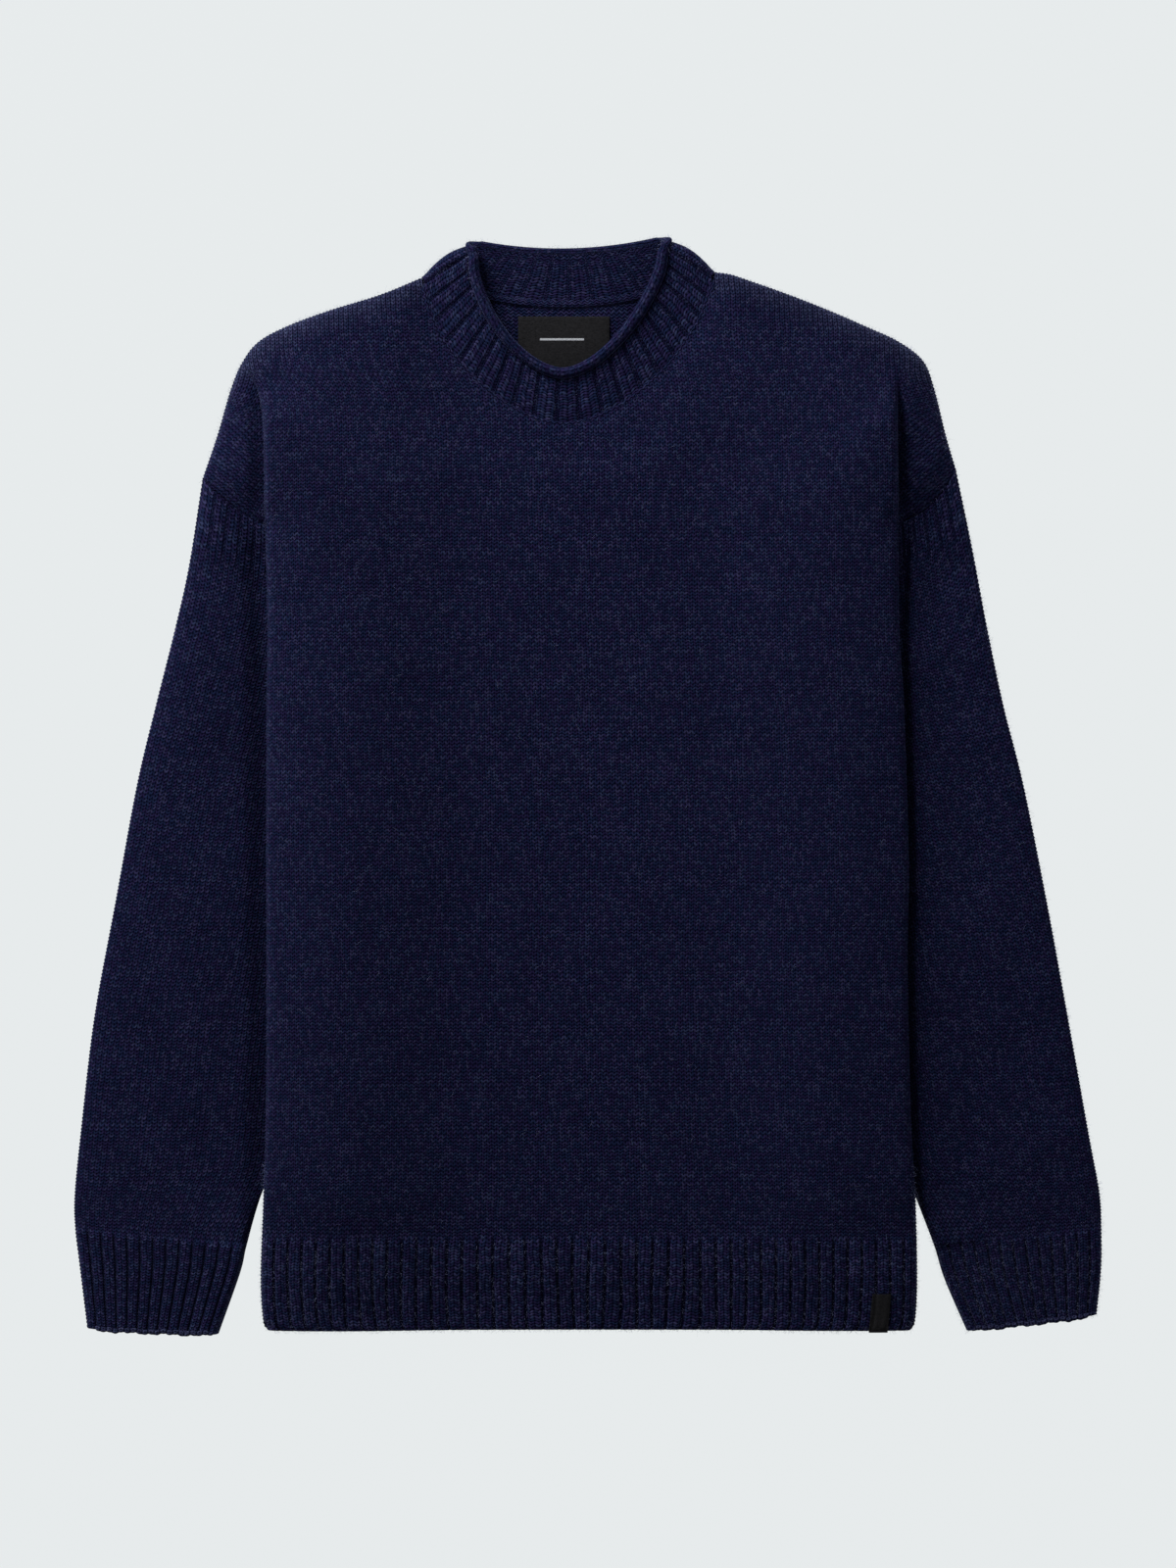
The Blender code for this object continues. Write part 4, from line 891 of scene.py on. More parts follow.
def sleeve(name, side):
    """One sleeve, and the line along the end of its upper layer."""
    rows = through(SLEEVES[side], SECTION_STEPS)
    lengths = travelled(section_point(rows, np.full(len(rows), MIDDLE_SHARE)))
    at = np.linspace(0, lengths[-1], int(lengths[-1] / EDGE_STEP))
    section = np.interp(at, lengths, np.arange(len(rows)) / SECTION_STEPS)
    rows = np.stack([np.interp(at, lengths, rows[:, i]) for i in range(5)], axis=1)
    width = np.hypot(rows[:, 2] - rows[:, 0], rows[:, 3] - rows[:, 1])[:, None] * MM
    band = (1 - smooth((section - BAND_END) / BAND_FADE))[:, None]
    cuff = smooth((section - CUFF_START) / CUFF_FADE)[:, None]
    below_seam = smooth(section / SEAM_SECTIONS)[:, None]
    low = smooth((section - LOW_START) / TILTING)[:, None]
    near_cuff = smooth((section - LOW_START) / NARROWING)[:, None]

    near = FOLD * (1 - np.cos(np.radians(FOLD_DEGREES)))
    marks = rib_places(CUFF_RIBS)
    marks = marks[(marks > TOP_SHARES[0]) & (marks < TOP_SHARES[1])]

    def ring_shares(width):
        """Shares across the tube for the whole ring, which runs over its top and back under it."""
        edge = near / width
        count = (len(width), 1)
        upper = np.hstack([edge, np.tile(marks, count), 1 - edge[:, ::-1]])
        under = np.hstack([1 - edge[:, 1:], np.tile(1 - LOWER_SHARES, count), edge[:, :0:-1]])
        return upper, under

    def crown(share, x, y, rounding):
        """How far the upper layer stands off a flat tube: dome and tilt, less the dip beside the body."""
        shown = np.abs(side_edge(side, y) - x[:, :1]) / width
        dome = SLEEVE_DOME[side] * np.sin(math.pi * np.clip(share / shown, 0, 1) ** DOME_SKEW[side]) ** 2
        from_body = (shown - share) * width
        slope = SLEEVE_SLOPE[side] * smooth((share / shown - SLOPE_SHARES[0]) / SLOPE_SHARES[1])
        drop = SLEEVE_DROP[side] * (1 - smooth((from_body + DROP_START) / DROP_WIDTH[side])) * below_seam
        return dome - (slope + drop) * (1 - cuff) * rounding + CUFF_TILT[side] * low * share * rounding

    upper, under = ring_shares(width)
    top = section_point(rows[:, None, :], upper)
    bottom = section_point(rows[:, None, :], under)
    rounding = quarter_round(np.minimum(upper, 1 - upper) * width, FOLD)
    ribs = (RIB_RISE * rib_profile(upper * 3 * CUFF_RIBS) * cuff
            + BAND_RISE * rib_profile(upper * 3 * BAND_RIBS) * band)
    soft = creases(top[..., 0].ravel(), top[..., 1].ravel(), SLEEVE_CREASES[side]).reshape(upper.shape)
    outer_round = np.where(upper < 0.5, edge_round(upper * width), rounding)
    z_top = (FOLD + FOLD * outer_round + crown(upper, top[..., 0], top[..., 1], rounding)
             + (ribs + soft) * rounding)
    z_bottom = FOLD - FOLD * quarter_round(np.minimum(under, 1 - under) * width, FOLD)
    stitch_out = side * ((np.arange(len(rows)) % 2 * 2 - 1) * STITCH_OUT)[:, None]
    top[..., 0] += (1 - quarter_round(upper * width, FOLD)) * stitch_out
    bottom[..., 0] += (1 - quarter_round(under * width, FOLD)) * stitch_out * (under < 0.5)
    outer = np.concatenate([np.dstack([top, z_top]), np.dstack([bottom, z_bottom])], axis=1)

    chosen = np.linspace(len(rows) - 1, 0, INNER_ROWS).astype(int)
    inner_width = width[chosen]
    inset = WALL / inner_width
    middle = FOLD - HOLLOW_DROP - INSIDE_SINK * (1 - cuff[chosen])
    layers = []
    for share, way in zip(ring_shares(inner_width), (1, -1)):
        narrowed = inset + share * (1 - 2 * inset)
        flat = section_point(rows[chosen][:, None, :], narrowed)
        room = inner_round(np.minimum(narrowed, 1 - narrowed) * inner_width)
        layers.append(np.dstack([flat, middle + way * room * 0.5]))
    grid = np.concatenate([outer, np.concatenate(layers, axis=1)], axis=0)

    around = np.hstack([upper, 2 - under, np.full((len(rows), 1), 2.0)])
    plain = around * width / WALE
    ribbed = around * 3 * CUFF_RIBS
    wale = plain + (ribbed - plain) * near_cuff
    wale = wale + (rib_squeeze(ribbed) - ribbed) * cuff
    wale = wale + (rib_squeeze(around * 3 * BAND_RIBS) - wale) * band
    step = np.diff(at, prepend=0.0) / (COURSE + (RIB_COURSE - COURSE) * cuff[:, 0])
    course = np.tile(-np.cumsum(step)[:, None], around.shape[1])
    rib = np.tile(np.maximum(band * BAND_LOOK, cuff * CUFF_LOOK), around.shape[1])
    knit = np.dstack([wale, course])
    zone = np.dstack([rib, np.zeros_like(rib)])
    purled = np.dstack([rib, np.ones_like(rib)])
    knit = np.concatenate([knit, knit[chosen], knit[:1]], axis=0)
    zone = np.concatenate([zone, purled[chosen], zone[:1]], axis=0)
    end_line = outer[-2, :upper.shape[1]]
    shows = (upper[-1] > CORD_SHARES[0]) & (upper[-1] < CORD_SHARES[1])
    return skin(name, grid, knit, zone, WOOL), end_line[shows]


sleeves = []
cuff_ends = []
for name, side, node, area in (("sleeve_on_right_arm", -1, "sleeve_right", 0.114),
                               ("sleeve_on_left_arm", 1, "sleeve_left", 0.107)):
    made, cuff_end = sleeve(name, side)
    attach(made, BODY)
    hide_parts(node)
    sleeves.append(made)
    cuff_ends.append(cuff_end)

# Collar: one band of 2 by 1 rib, linked to the neckline all round. Its upper edge is cast off plain and
# rolls over outwards. Its inside shows at the back.
COLLAR_EDGE = dict(centre=-12.2 * MM, half=58.2 * MM, top=343.0 * MM, depth=78.6 * MM, power=1.67,
                   lean=-4.0 * MM, tilt=3.4 * MM)
BACK_EDGE_ENDS = np.array([(43.0, 347.3), (-67.0, 344.9)]) * MM
EDGE_BACK_DIP = 5.6 * MM
COLLAR_RIBS = 19
BACK_RIBS = 12
COLLAR_RISE = 0.62 * MM
COLLAR_LOOK = 0.72         # how plainly its ribs show outside, beside those of the hem
INSIDE_RISE = 0.15 * MM
SEAM_RISE = 0.25            # share of the ribs' height at the seam, where they start
SEAM_RISE_WIDTHS = (1.5 * MM, 6 * MM)
INSIDE_LOOK = 0.35          # how plainly its ribs show on the inside
FOLD_SWELL = 2.6 * MM       # its side folds bulge out between seam and edge
CORNER_TUCK = 0.6           # share by which the roll is shorter at the middle of a side fold
FRONT_TUCK = 0.25           # and at the ends of the front, within this reach of them
FRONT_TUCK_REACH = 0.03
FOLD_INSET = 0.9            # share of half its folded thickness by which its side folds are drawn in
FOLD_REACH = 0.10
ROLL_LOW = 0.60             # share of the roll's height at the back and at the ends of the front
ROLL_LOW_REACH = 0.025
ROLL_LEAD = 1.1             # the ribs end this many of the roll's radii before its middle
FLAT_EDGE = 9 * MM          # inside, the ribs end this far from the edge
COLLAR_SEAM_LEVELS = (6.7 * MM, 1.5 * MM)
COLLAR_EDGE_LEVELS = (9.3 * MM, 4.7 * MM)
ROLL_RADIUS = 3.7 * MM
ROLL_STRETCH = 0.72        # its courses lie further apart
ROLL_PURL = 0.55           # its purl side shows between the stitches
COLLAR_ROWS = 26
ROLL_TURNS = 18
FOLD_TURNS = (15, 30, 45, 60, 75, 90, 105, 120, 135, 150, 165)


def collar():
    front_marks = rib_places(COLLAR_RIBS)
    back_marks = rib_places(BACK_RIBS)
    seam_u = u_arc(NECK_SEAM, EDGE_STEP / 2)
    edge_u = u_arc(COLLAR_EDGE, EDGE_STEP / 2)
    seam_back = hanging_arc(seam_u[-1], seam_u[0], NECK_BACK_DIP, EDGE_STEP / 2)
    edge_back = hanging_arc(*BACK_EDGE_ENDS, EDGE_BACK_DIP, EDGE_STEP / 2)

    def at_marks(line, marks):
        where = marks * (len(line) - 1)
        return np.stack([np.interp(where, np.arange(len(line)), line[:, i]) for i in (0, 1)], axis=1)

    flats = [(at_marks(seam_u, front_marks), at_marks(edge_u, front_marks)),
             (at_marks(seam_back, back_marks), at_marks(edge_back, back_marks))]
    turns = np.radians(FOLD_TURNS)

    def ring(at, levels):
        """One line round the whole band, at its seam (0) or its edge (1), with its two side folds."""
        radius = (levels[0] - levels[1]) / 2
        halves = []
        outwards = []
        for half, (pair, marks) in enumerate(zip(flats, (front_marks, back_marks))):
            flat = pair[at].copy()
            for end in (0, -1):
                towards = pair[1][end] - pair[0][end]
                outward = np.array([towards[1], -towards[0]]) / np.linalg.norm(towards)
                outward *= 1 if outward[1] > 0 else -1
                outwards.append(outward)
                near = 1 - smooth(np.abs(marks - marks[end]) / FOLD_REACH)
                if not (half and at):
                    flat -= near[:, None] * outward * (radius + WALL / 2) * FOLD_INSET
            halves.append(np.column_stack([flat, np.full(len(flat), levels[half])]))
        share = ((1 - np.cos(turns)) / 2)[:, None]
        bulge = np.sin(turns)[:, None] * radius
        folds = []
        for start, end, outward in ((halves[0][-1], halves[1][0], outwards[1]),
                                    (halves[1][-1], halves[0][0], outwards[0])):
            folds.append(start * (1 - share) + end * share + bulge * np.append(outward, 0.0))
        return np.vstack([halves[0], folds[0], halves[1], folds[1]])

    low_ring, high_ring = ring(0, COLLAR_SEAM_LEVELS), ring(1, COLLAR_EDGE_LEVELS)
    across = high_ring - low_ring
    middle = (low_ring + high_ring) / 2
    normals = unit(np.cross(np.roll(middle, -1, axis=0) - np.roll(middle, 1, axis=0), across))
    front_count, back_count, fold_count = len(front_marks), len(back_marks), len(turns)
    is_front = np.zeros(len(middle), bool)
    is_front[:front_count] = True
    is_back = np.zeros(len(middle), bool)
    is_back[front_count + fold_count:front_count + fold_count + back_count] = True
    wale = np.zeros(len(middle))
    wale[is_front] = front_marks * 3 * COLLAR_RIBS
    wale[is_back] = 3 * (COLLAR_RIBS + 2) + back_marks * 3 * BACK_RIBS
    after = front_count + fold_count
    wale[front_count:after] = 3 * (COLLAR_RIBS + 2 * turns / math.pi)
    wale[after + back_count:] = 3 * (COLLAR_RIBS + 2 + BACK_RIBS + 2 * turns / math.pi)
    ribs_out = rib_profile(wale)
    length = np.linalg.norm(across[front_count // 2])
    half = WALL / 2
    roll_share = 1 - ROLL_RADIUS / length
    rib_end = roll_share - ROLL_LEAD * ROLL_RADIUS / length
    loops, courses, ribbed, purled = [], [], [], []

    from_end = np.where(is_front, np.concatenate([np.minimum(front_marks, 1 - front_marks),
                                                  np.zeros(len(middle) - front_count)]), 0.0)
    roll_full = np.where(is_back, ROLL_LOW, ROLL_LOW + 0.40 * smooth(from_end / ROLL_LOW_REACH))
    tuck = np.zeros(len(middle))
    tuck[front_count:after] = tuck[after + back_count:] = CORNER_TUCK * np.sin(turns)
    tuck += FRONT_TUCK * is_front * (1 - smooth(from_end / FRONT_TUCK_REACH))
    near_fold = tuck / CORNER_TUCK * ~is_front

    def add(share, out, along, rib, purl):
        """One more ring: how far from seam to edge, how far out, and its stitches."""
        reach = (share - np.maximum(share - rib_end, 0.0) * tuck)[:, None]
        loops.append(low_ring + across * reach + normals * np.broadcast_to(out, len(middle))[:, None])
        courses.append(-along / RIB_COURSE)
        ribbed.append(rib)
        purled.append(purl)

    for share in np.linspace(0, rib_end, COLLAR_ROWS):
        from_seam = smooth((share * length - SEAM_RISE_WIDTHS[0]) / SEAM_RISE_WIDTHS[1])
        rise = COLLAR_RISE * (SEAM_RISE + (1 - SEAM_RISE) * from_seam)
        rise = rise * smooth((1 - share) * length / FLAT_EDGE + 0.2)
        swell = FOLD_SWELL * near_fold * math.sin(math.pi * (share / rib_end) ** 1.3)
        add(share, half + ribs_out * rise * ~is_back + swell, share * length, COLLAR_LOOK, 0.0)
    for turn in np.linspace(math.pi, -math.pi / 2, ROLL_TURNS):
        share = roll_share + ROLL_RADIUS * math.cos(turn) / length
        along = rib_end * length + (math.pi - turn) * ROLL_RADIUS * ROLL_STRETCH
        out = np.maximum(half + ROLL_RADIUS * math.sin(turn) * (roll_full if turn > 0 else 1.0), -half)
        add(share, out, along, 0.0, ROLL_PURL)
    band = FLAT_EDGE / length
    for share in np.linspace(roll_share - 0.02, 0, COLLAR_ROWS):
        rise = INSIDE_RISE * smooth((1 - band - share) * length / (3 * MM))
        rise = rise * smooth(share * length / (5 * MM) + 0.1)
        ribbed_here = share < 1 - band
        add(share, -half - ribs_out * rise * is_back, -share * length, INSIDE_LOOK * ribbed_here,
            1.0 - ribbed_here)
    grid = np.array(loops)
    columns = np.concatenate([wale, [3 * (COLLAR_RIBS + 4 + BACK_RIBS)]])
    knit = np.dstack(np.meshgrid(rib_squeeze(columns), courses))
    zone = np.dstack([np.tile(np.array(values)[:, None], len(columns)) for values in (ribbed, purled)])
    knit = np.concatenate([knit, knit[:1]], axis=0)
    zone = np.concatenate([zone, zone[:1]], axis=0)
    return skin("ribbed_collar", grid, knit, zone, WOOL)


collar_band = collar()
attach(collar_band, BODY)
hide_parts("collar")

# Linking: the chained row of wool that joins the collar to the body. It is a thick soft ridge round the
# front of the neckline, and a slimmer one on the inside across the back.
RIDGE_WIDTH = 5.6 * MM
RIDGE_HEIGHT = 0.9 * MM
RIDGE_STITCH = 3.9 * MM
INSIDE_RIDGE = (5.4 * MM, 1.2 * MM)
RIDGE_LEVEL = 7.9 * MM
RIDGE_DROP = 3.2 * MM      # it comes down by this towards its ends, at the shoulders
RIDGE_DROP_LENGTH = 9      # over this length, in mm
INSIDE_RIDGE_LEVEL = 3.0 * MM
LINK_STEP = 0.6            # between its points, in mm
RIDGE_SIDES = 14


def ridge(name, line, levels, width, height, look=1.0):
    """A soft half-round ridge along a line, with a swelling at each stitch."""
    ahead = np.gradient(line, axis=0)
    square = square_to(ahead)
    along = travelled(line)
    swell = 1 + 0.10 * np.cos(2 * math.pi * along / RIDGE_STITCH)
    ends = np.sqrt(np.clip(np.minimum(along, along[-1] - along) / (1.6 * width), 0.02, 1))
    rings = []
    for turn in np.linspace(0, 2 * math.pi, RIDGE_SIDES, endpoint=False):
        out = math.cos(turn) * width / 2 * swell * ends
        up = math.sin(turn) * height * swell * ends
        rings.append(np.column_stack([line + square * out[:, None], levels + up]))
    grid = np.transpose(np.array(rings), (1, 0, 2))
    rows, columns = grid.shape[:2]
    corners = cell_corners(rows - 1, columns)
    faces = np.stack([row * columns + column % columns for row, column in corners], axis=1).tolist()
    around = np.linspace(0, 2 * math.pi, columns + 1) * (width / 2) / RIB_COURSE
    knit = np.dstack(np.meshgrid(around, along / RIDGE_STITCH))[..., ::-1]
    caps = [list(range(columns)), list(range((rows - 1) * columns, rows * columns))[::-1]]
    knit_corners = np.vstack([at_corners(knit, corners)] + [np.zeros((columns, 2))] * 2)
    zone = np.tile([0.0, look], (len(knit_corners), 1))
    made = make_piece(name, grid.reshape(-1, 3), faces + caps, {"knit": knit_corners, "zone": zone}, WOOL)
    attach(made, BODY)


front_line = u_arc(NECK_SEAM, LINK_STEP * MM)
share = np.linspace(0, 1, len(front_line))
from_end = np.minimum(share, 1 - share) * len(front_line) * LINK_STEP
levels = RIDGE_LEVEL - (1 - smooth(from_end / RIDGE_DROP_LENGTH)) * RIDGE_DROP
ridge("neck_linking_outside", front_line[2:-2], levels[2:-2], RIDGE_WIDTH, RIDGE_HEIGHT)
back_line = hanging_arc(front_line[-1], front_line[0], NECK_BACK_DIP, LINK_STEP * MM)[12:-12]
ridge("neck_linking_inside", back_line, np.full(len(back_line), INSIDE_RIDGE_LEVEL), *INSIDE_RIDGE)

# Cast-off edges: the chain of wool that closes the last row of each cuff. It is a thin uneven cord along the
# cuff's lower edge, painted pale: brushed fibre ends, and a painted highlight along that edge.
CAST_OFF_WIDTH = 3.0 * MM
CAST_OFF_HEIGHT = 1.2 * MM
CAST_OFF_LIFT = 0.5 * MM
CAST_OFF_STRAY = 0.35 * MM # up and down the sleeve, in two waves
CAST_OFF_WAVES = (0.61, 0.23)
LEVEL_POINTS = 15          # the ribs' heights are evened out over this many points
for name, end in zip(("cast_off_right_cuff", "cast_off_left_cuff"), cuff_ends):
    chain = even(end, LINK_STEP * MM)
    levels = np.convolve(np.pad(chain[:, 2], LEVEL_POINTS // 2, mode="edge"),
                         np.ones(LEVEL_POINTS) / LEVEL_POINTS, mode="valid")
    along = np.arange(len(chain)) * LINK_STEP
    stray = CAST_OFF_STRAY * (np.sin(along * CAST_OFF_WAVES[0]) + np.sin(along * CAST_OFF_WAVES[1] + 1.0))
    # -1 marks the cord as pale: brushed fibre ends and a painted highlight along the cuff's edge
    ridge(name, chain[:, :2] + np.outer(stray - CAST_OFF_WIDTH / 4, [0.0, 1.0]), levels + CAST_OFF_LIFT,
          CAST_OFF_WIDTH, CAST_OFF_HEIGHT, -1.0)

# Neck label: a plain black woven label, sewn along its edges on the inside of the back. It has one plain
# pale line across it.
LABEL_X = (-44.3 * MM, 13.6 * MM)
LABEL_Y = (259.0 * MM, 297.3 * MM)
LABEL_POINTS = (60, 42)
LABEL_THICKNESS = 0.8 * MM
LABEL_SWELL = 0.5 * MM
LABEL_THREADS = (120, 90)
LABEL_LINE = (0.24, 0.72, 0.62, 0.024)     # shares: from and to across it, how far up it, and its width
LINE_EDGE = 0.004
TAPE_BLACK = (0.0006, 0.0007, 0.0012, 1.0)
TAPE_PALE = (0.0200, 0.0197, 0.0220, 1.0)
LINE_PALE = (0.50, 0.52, 0.56, 1.0)
TAPE_RELIEF = 0.12 * MM


def tape_piece(name, outer, inner, ids, finish):
    """A closed piece of tape between two grids of points. The order of ids turns its faces outwards."""
    count = outer.shape[0] * outer.shape[1]
    quads = np.stack([ids[:-1, :-1], ids[:-1, 1:], ids[1:, 1:], ids[1:, :-1]], axis=-1).reshape(-1, 4)
    border = np.concatenate([ids[0, :], ids[1:, -1], ids[-1, -2::-1], ids[-2:0:-1, 0]])
    onward = np.roll(border, -1)
    rims = np.stack([onward, border, border + count, onward + count], axis=1)
    faces = np.vstack([quads, quads[:, ::-1] + count, rims])
    across, along = np.meshgrid(np.linspace(0, 1, outer.shape[1]), np.linspace(0, 1, outer.shape[0]))
    flat = np.tile(np.stack([across, along], axis=-1).reshape(-1, 2), (2, 1))
    points = np.vstack([outer.reshape(-1, 3), inner.reshape(-1, 3)])
    return make_piece(name, points, faces.tolist(), {"weave": flat[faces.ravel()]}, finish)


def woven_tape(name, threads_across, threads_along, line):
    """Black woven tape in fine warp and weft, with a plain pale line across it where one is given."""
    tape = Finish(name, Specular_IOR_Level=0.10, Roughness=0.8)
    weave = tape.map_numbers("weave")
    warp = (weave[0] * threads_across).off_middle()
    weft = (weave[1] * threads_along).off_middle()
    over = ((weave[0] * threads_across).whole() + (weave[1] * threads_along).whole()) / 2
    over = (over.part() * 2).ramp(0.4, 0.6)
    height = (1 - warp ** 2) * over + (1 - weft ** 2) * (1 - over)
    cloud = tape.noise(tape.plane(weave[0] * 22, weave[1] * 60, 2.0), 3.0, 0.7)
    knots = tape.chance(tape.plane((weave[0] * threads_across / 2).whole(),
                                   (weave[1] * threads_along / 2).whole()))
    # The threads' crowns are painted lighter than the dips between them, as painted light and shade; the
    # cloud and knots are the tape's own mottling
    shade = height * 0.22 + cloud.ramp(0.32, 0.70) * 0.42 + knots * 0.28
    colour = tape.mix(shade, TAPE_BLACK, TAPE_PALE)
    if line:
        low_x, high_x, at_y, thick = line
        mark = weave[0].ramp(low_x - LINE_EDGE, low_x + LINE_EDGE)
        mark = mark * (1 - weave[0].ramp(high_x - LINE_EDGE, high_x + LINE_EDGE))
        mark = mark * (1 - (weave[1] - at_y).size().ramp(thick * 0.5, thick * 0.9))
        colour = tape.mix(mark * 0.8, colour, LINE_PALE)
    tape.feed("Base Color", colour)
    tape.feed_relief(height, TAPE_RELIEF, 0.6)
    return tape.material


label_x, label_y = np.meshgrid(*(np.linspace(*ends, count)
                                 for ends, count in zip((LABEL_X, LABEL_Y), LABEL_POINTS)))
label_flat = np.column_stack([label_x.ravel(), label_y.ravel()])
label_z = back_top(label_flat, distance_to(label_flat, COARSE_FOLDS)).reshape(label_x.shape)
across, up = ((at - low) / (high - low) for at, (low, high) in ((label_x, LABEL_X), (label_y, LABEL_Y)))
label_swell = LABEL_SWELL * np.sin(math.pi * across) * np.sin(math.pi * up)
label_top = np.dstack([label_x, label_y, label_z + SEAM_GAP + LABEL_THICKNESS + label_swell])
label_base = label_top - [0.0, 0.0, LABEL_THICKNESS]
label_top[[0, -1], :, 2] -= LABEL_THICKNESS * 0.25
label_top[1:-1, [0, -1], 2] -= LABEL_THICKNESS * 0.25
label_ids = np.arange(label_x.size).reshape(label_x.shape)
label = tape_piece("woven_neck_label", label_top, label_base, label_ids,
                   woven_tape("woven_label", *LABEL_THREADS, LABEL_LINE))
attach(label, BODY)
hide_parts("neck_label")

# Hem tab: a short piece of bare black woven tape, at the wearer's left. It is folded over the hem's lower
# edge and sewn through.
TAB_X = 184.3 * MM
TAB_WIDTH = 11.6 * MM
TAB_TOP_Y = -321.0 * MM
TAB_THICKNESS = 1.0 * MM
TAB_LEAN = 0.09            # it leans to the side by this share of its length
TAB_ROWS = 22
TAB_BENDS = (20, 45, 70, 90, 110, 135, 160)     # degrees round the fold
TAB_THREADS = (26, 110)

tab_middle = (TAB_TOP_Y + HEM_Y) / 2
tab_across = np.linspace(-0.5, 0.5, 17)


def tab_row(y, on_top, out):
    x = TAB_X + TAB_WIDTH * tab_across + TAB_LEAN * (y - tab_middle)
    flat = np.column_stack([x, np.full(len(x), y)])
    to_fold = distance_to(flat, COARSE_FOLDS)
    if on_top:
        knit_z = front_top(flat, to_fold)
        z = knit_z.max() * 0.5 + knit_z * 0.5 + SEAM_GAP + out
    else:
        z = front_under(flat, to_fold) - SEAM_GAP - out
    return np.column_stack([flat, z])


upper_rows = [tab_row(y, True, TAB_THICKNESS) for y in np.linspace(TAB_TOP_Y, HEM_Y, TAB_ROWS)]
lower_rows = [tab_row(y, False, TAB_THICKNESS) for y in np.linspace(HEM_Y, TAB_TOP_Y, TAB_ROWS)]
bend = []
for turn in np.radians(TAB_BENDS):
    share = (1 - math.cos(turn)) / 2
    row = upper_rows[-1] * (1 - share) + lower_rows[0] * share
    row[:, 1] -= (SEAM_GAP + TAB_THICKNESS) * math.sin(turn)
    bend.append(row)
tab_outer = np.array(upper_rows + bend + lower_rows)
tab_normals = unit(np.cross(np.gradient(tab_outer, axis=1), np.gradient(tab_outer, axis=0)))
if tab_normals[0, len(tab_across) // 2, 2] > 0:
    tab_normals = -tab_normals
tab_ids = np.arange(len(tab_outer) * len(tab_across)).reshape(len(tab_outer), -1).T
tab = tape_piece("woven_hem_tab", tab_outer, tab_outer + tab_normals * TAB_THICKNESS, tab_ids,
                 woven_tape("woven_tab", *TAB_THREADS, None))
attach(tab, BODY)
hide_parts("hem_tab")

# Loose fibres: ends of wool that stand off the yarn, thickest where the knit turns away from the eye, and
# stray pale ones that lie on it. They are spun into the yarn, and brushed up by wear and washing.
FRINGE_COUNT = 8000
STRAY_COUNT = 2600
FRINGE_LENGTHS = (0.8 * MM, 2.8 * MM)
STRAY_LENGTHS = (1.2 * MM, 4.2 * MM)
FIBRE_RADIUS = 0.042 * MM
FIBRE_STEPS = 3
FRINGE_LEAN = (0.2, 1.2)   # how far the ends lean, how thick they are, and how far the stray ones curve
FRINGE_THICKNESS = (0.7, 1.2)
STRAY_THICKNESS = (0.6, 1.4)
STRAY_CURVE = (-0.8, 0.8)
FRINGE_COLOUR = (0.200, 0.225, 0.390, 1.0)
STRAY_COLOUR = (0.13, 0.15, 0.24, 1.0)
FACING_UP = 0.8            # a face turns up by more than this, or away from the eye
CLOTH_BOTTOM = 4 * MM      # the stray fibres lie above this height
EYE_HEIGHT = 0.2 * MM      # a spot shows if nothing is above it from this far off the surface
BESIDE_BODY = ((100 * MM, 216 * MM), (-240 * MM, 262 * MM))     # the creases there, by |x| and y
IN_NECK = ((-74 * MM, 50 * MM), (240 * MM, 338 * MM))
random = np.random.default_rng(7)


def surface_spots(pieces, chosen, count):
    """Random spots on the faces that are chosen by their middles and normals, where nothing lies above."""
    corners, normals = [], []
    for piece in pieces:
        mesh = piece.data
        mesh.calc_loop_triangles()
        places = np.empty(len(mesh.vertices) * 3, np.float32)
        mesh.vertices.foreach_get("co", places)
        ids = np.empty(len(mesh.loop_triangles) * 3, np.int32)
        mesh.loop_triangles.foreach_get("vertices", ids)
        triangles = places.reshape(-1, 3)[ids.reshape(-1, 3)].astype(float)
        across = np.cross(triangles[:, 1] - triangles[:, 0], triangles[:, 2] - triangles[:, 0])
        kept = np.linalg.norm(across, axis=1) > 1e-12
        kept[kept] = chosen(triangles[kept].mean(axis=1), unit(across[kept]))
        corners.append(triangles[kept])
        normals.append(across[kept])
    corners, normals = np.vstack(corners), np.vstack(normals)
    areas = np.linalg.norm(normals, axis=1)
    picked = random.choice(len(areas), count * 2, p=areas / areas.sum())
    u, v = random.random((2, count * 2))
    u, v = np.where(u + v > 1, 1 - u, u), np.where(u + v > 1, 1 - v, v)
    a, b, c = (corners[picked, i] for i in range(3))
    spots = a + (b - a) * u[:, None] + (c - a) * v[:, None]
    facing = normals[picked] / areas[picked][:, None]
    graph = bpy.context.evaluated_depsgraph_get()
    seen = [not bpy.context.scene.ray_cast(graph, Vector(spot), Vector((0, 0, 1)))[0]
            for spot in spots + facing * EYE_HEIGHT]
    return spots[seen][:count], facing[seen][:count]


